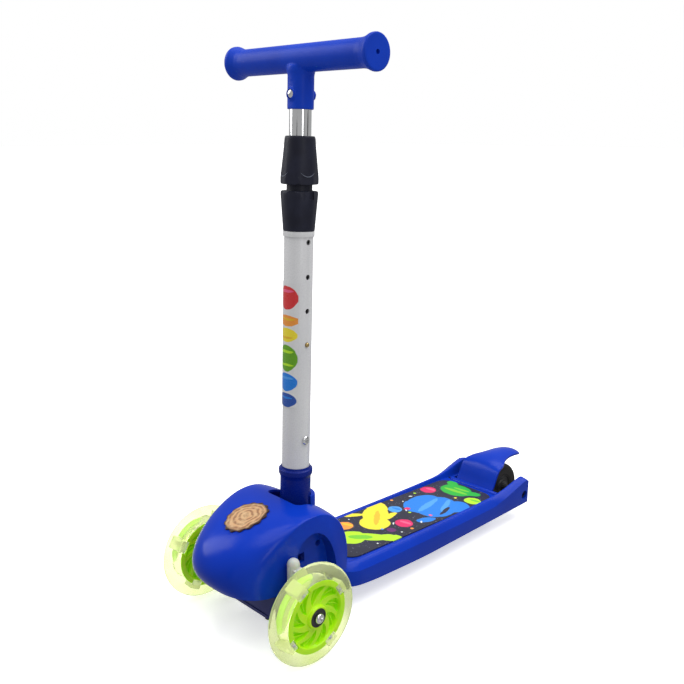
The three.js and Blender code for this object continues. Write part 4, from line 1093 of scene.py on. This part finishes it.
# %% The roller
roller = turned("solid_rear_tyre", [(20.3, 24.6), (30.5, 25), (34.2, 24), (36.6, 20.5),
                                    (37.5, 15.5),
                                    (37.5, -15.5), (36.6, -20.5), (34.2, -24), (30.5, -25),
                                    (20.3, -24.6)],
                128, 1.6, 5)
rear_bench = on_axle(1, 0, REAR_Y, REAR_Z)
hand_over(roller, rear_bench, "rear_wheel", "black_tyre", black_tyre, "rear_tyre")
hub = turned("rear_wheel_hub", [(11.3, 24.6), (12.5, 24.6), (13.4, 22), (18.4, 22), (19.2, 24.6),
                                (20, 24.6), (20, -24.6), (19.2, -24.6), (18.4, -22), (13.4, -22),
                                (12.5, -24.6), (11.3, -24.6), (11.3, -17.7), (9.2, -17.7),
                                (9.2, 17.7), (11.3, 17.7)], 96, 0.3)
hand_over(hub, rear_bench, "rear_wheel", "black_plastic", black_plastic, "rear_hub")

# %% The axle bolt, seen in the deck's side
axle_bolt = turned("rear_axle_screw", [(0, -62), (3.9, -62), (3.9, 57.3), (6.1, 57.3), (6.1, 60.6),
                                       (5.2, 62), (0, 62)], 48, 0.5)
cut(axle_bolt, turned("axle_hex", [(0, 59), (2.6, 59), (2.6, 70), (0, 70)], 6, 0))
dark_steel = made_finish("dark_steel", (0.05, 0.05, 0.055), (0.03, 0.03, 0.034), (0.35, 0.5), 90,
                         900, 0.2, Metallic=1.0)
hand_over(axle_bolt, rear_bench, "deck", "steel", dark_steel, "rear_axle_bolt")

# %% The brake fender
fender_height = flowing([(439, 44.5), (441, 47.5), (446, 56), (451, 66), (458, 76), (468, 82.6),
                         (485, 86.2), (505, 87.2), (525, 86), (540, 82.6), (552, 76.5)])
fender_half = flowing([(439, 34), (452, 34), (468, 32.5), (478, 29), (490, 23.5), (505, 20),
                       (525, 18.5), (536, 17.4), (543, 14.5), (548, 10.4), (552, 3)])
FENDER_ROWS, FENDER_COLUMNS = 90, 24


def fender_point(column, row, upper):
    t = row / FENDER_ROWS
    y = 439.5 + 112.5 * (0.35 * t + 0.65 * math.sin(t * math.pi / 2))
    c = math.sin((2 * column / FENDER_COLUMNS - 1) * math.pi / 2)
    rise = fender_height(y + 0.5) - fender_height(y - 0.5)
    length = math.hypot(1, rise)
    sag = min(1, max(0, y - 456) / 14) * 4 * c * c
    depth = 0 if upper else 3
    return c * fender_half(y), y + depth * rise / length, fender_height(y) - sag - depth / length


fender = pushed_sheet("heel_brake_fender", FENDER_COLUMNS, FENDER_ROWS, fender_point)
apply_modifier(fender, "BEVEL", width=1.1, segments=3, limit_method="ANGLE",
               angle_limit=math.radians(50))
barrel = aimed(turned("fender_barrel", [(0, -44), (4.95, -44), (4.95, 44), (0, 44)], 48, 0.5),
               ACROSS, FENDER_HINGE)
pad = brick("brake_pad", (-14, 14), (476, 492), (72, 84.3), 1.2)
cut(pad, aimed(peg("tyre_clearance", 40.1, -30, 30, 144), ACROSS, REAR_AXLE))
fused(fender, barrel, pad)
cut(fender, aimed(peg("hinge_room", 2.8, -50, 50), ACROSS, FENDER_HINGE),
    aimed(peg("spring_room", 4.7, -8, 8), ACROSS, FENDER_HINGE))
hand_over(fender, ON_DECK, "brake_fender", "gloss_blue", gloss_blue, "brake_fender", angle=38)

# %% [markdown]
# ## The hardware
#
# Screws, nuts, springs, brackets and knuckles already have their right shapes in the CAD. Those
# that can be seen get a copy with merged corners and a fine bevel, so that their edges catch
# the light, and the hidden ones simply take their metal or nylon finish.

# %% Refined copies of what shows
def refined(node, body, slot, finish, bevel):
    source = frame["nodes"][node]
    copy = bpy.data.objects.new(f"{node}_finished", source.data.copy())
    bpy.context.scene.collection.objects.link(copy)
    edit(copy)
    bpy.ops.mesh.remove_doubles(threshold=2e-6)
    bpy.ops.mesh.dissolve_limited(angle_limit=math.radians(2))
    leave_edit()
    apply_modifier(copy, "BEVEL", width=bevel, segments=2, limit_method="ANGLE",
                   angle_limit=math.radians(42))
    return hand_over(copy, Matrix.Identity(4), body, slot, finish, node, angle=40)


shown = {"column_socket": ("column", "gloss_blue", gloss_blue, 0.0006),
         "front_crossmember": ("deck", "navy_plastic", navy_plastic, 0.0004),
         "pivot_bracket": ("deck", "steel", steel, 0.0003),
         "tie_rod": ("tie_rod", "steel", steel, 0.0003),
         "knuckle_left": ("knuckle_left", "nylon", nylon, 0.0004),
         "knuckle_right": ("knuckle_right", "nylon", nylon, 0.0004),
         "handle_nut": ("inner_column", "steel", steel, 0.0002),
         "fender_hinge_pin": ("deck", "steel", dark_steel, 0.0002),
         "rear_axle_nut": ("deck", "steel", steel, 0.0003)}
for node, (body, slot, finish, bevel) in shown.items():
    refined(node, body, slot, finish, bevel)

# %% Finishes for the hidden nodes that stay as they are
by_slot = {"steel": dark_steel, "nylon": nylon, "bearing_seal": bearing_seal,
           "black_plastic": black_plastic}
slot_of = {part["node"]: part["material_slot"] for part in frame["record"]["subparts"]}
for name, node in frame["nodes"].items():
    finish = by_slot.get(slot_of[name])
    if finish:
        node.data.materials.clear()
        node.data.materials.append(finish)
print("hardware finished")

# %% [markdown]
# ## The studio
#
# A pale floor that runs out past the view, a white surround, a broad soft light from the
# ceiling and two soft boxes: a tall one high on the left for the long highlight on the dome, and
# a narrow one in front to fill. Softness comes from the lights' size, not from blur. The floor
# glows a little and isn't seen in the glossy parts, so that it fades into the surround.

# %% Floor
FLOOR_GLOW = 0.55
ROOM_LEVEL = 0.42
CEILING_POWER, CEILING_SPREAD = 2.5, 70
floor = fresh("studio_floor", bpy.ops.mesh.primitive_plane_add, size=60, location=(0, 0, -0.0002))
floor_white, tree, shader, coords = new_finish("floor_white")
haze = noise(tree, coords, 3, 2)
tree.links.new(blended(tree, ranged(tree, haze, 0, 1), (0.90, 0.90, 0.90), (0.93, 0.93, 0.93)),
               shader.inputs["Base Color"])
shader.inputs["Roughness"].default_value = 0.6
shader.inputs["Specular IOR Level"].default_value = 0.1
shader.inputs["Emission Color"].default_value = (1, 1, 1, 1)
shader.inputs["Emission Strength"].default_value = FLOOR_GLOW
floor.visible_diffuse = False
floor.visible_glossy = False
floor.data.materials.append(floor_white)

# %% Surround and soft boxes
world = bpy.data.worlds.new("studio_white")
bpy.context.scene.world = world
world.use_nodes = True
surround = world.node_tree.nodes["Background"]
surround.inputs["Color"].default_value = (1.0, 1.0, 1.0, 1)
rays = world.node_tree.nodes.new("ShaderNodeLightPath")
level = world.node_tree.nodes.new("ShaderNodeMapRange")
level.inputs["To Min"].default_value = ROOM_LEVEL
level.inputs["To Max"].default_value = 1.0
seen = world.node_tree.nodes.new("ShaderNodeMath")
seen.operation = "MAXIMUM"
world.node_tree.links.new(rays.outputs["Is Camera Ray"], seen.inputs[0])
world.node_tree.links.new(rays.outputs["Is Transmission Ray"], seen.inputs[1])
world.node_tree.links.new(seen.outputs["Value"], level.inputs["Value"])
world.node_tree.links.new(level.outputs["Result"], surround.inputs["Strength"])
bpy.context.scene.view_settings.view_transform = "Standard"


def soft_box(name, at, towards, size, power):
    light = bpy.data.lights.new(name, "AREA")
    light.shape = "RECTANGLE"
    light.size, light.size_y = size
    light.energy = power
    lamp = bpy.data.objects.new(name, light)
    bpy.context.scene.collection.objects.link(lamp)
    lamp.location = at
    lamp.rotation_euler = (Vector(towards) - Vector(at)).to_track_quat("-Z", "Y").to_euler()
    return lamp


sky = bpy.data.lights.new("ceiling_light", "SUN")
sky.energy = CEILING_POWER
sky.angle = math.radians(CEILING_SPREAD)
ceiling = bpy.data.objects.new("ceiling_light", sky)
bpy.context.scene.collection.objects.link(ceiling)
ceiling.rotation_euler = (math.radians(-14), math.radians(8), 0)
soft_box("left_box", (-1.7, -1.0, 1.5), (0, 0, 0.3), (0.9, 1.6), 17)
soft_box("front_box", (1.9, -0.7, 1.1), (0, 0, 0.3), (0.4, 1.4), 5)

# %% [markdown]
# Chrome shows nothing but the room, so in an all-white room it looks like paint. Narrow black
# boards beside the camera draw dark lines down it, and the camera doesn't see them.

# %% Black boards for the chrome
board_black, tree, shader, coords = new_finish("board_black")
cloth = noise(tree, coords, 60, 3)
tree.links.new(blended(tree, ranged(tree, cloth, 0, 1), (0.012, 0.012, 0.014), (0.02, 0.02, 0.022)),
               shader.inputs["Base Color"])
for number, (bearing_at, width) in enumerate(((12, 0.16), (78, 0.2), (128, 0.34))):
    around = math.radians(bearing_at)
    board = fresh(f"black_board_{number + 1}", bpy.ops.mesh.primitive_plane_add, size=1,
                  location=(1.5 * math.sin(around), -1.5 * math.cos(around), 0.4),
                  rotation=(math.pi / 2, 0, around))
    board.scale = (width, 0.9, 1)
    board.visible_camera = False
    board.visible_shadow = False
    board.data.materials.append(board_black)
print("studio ready")
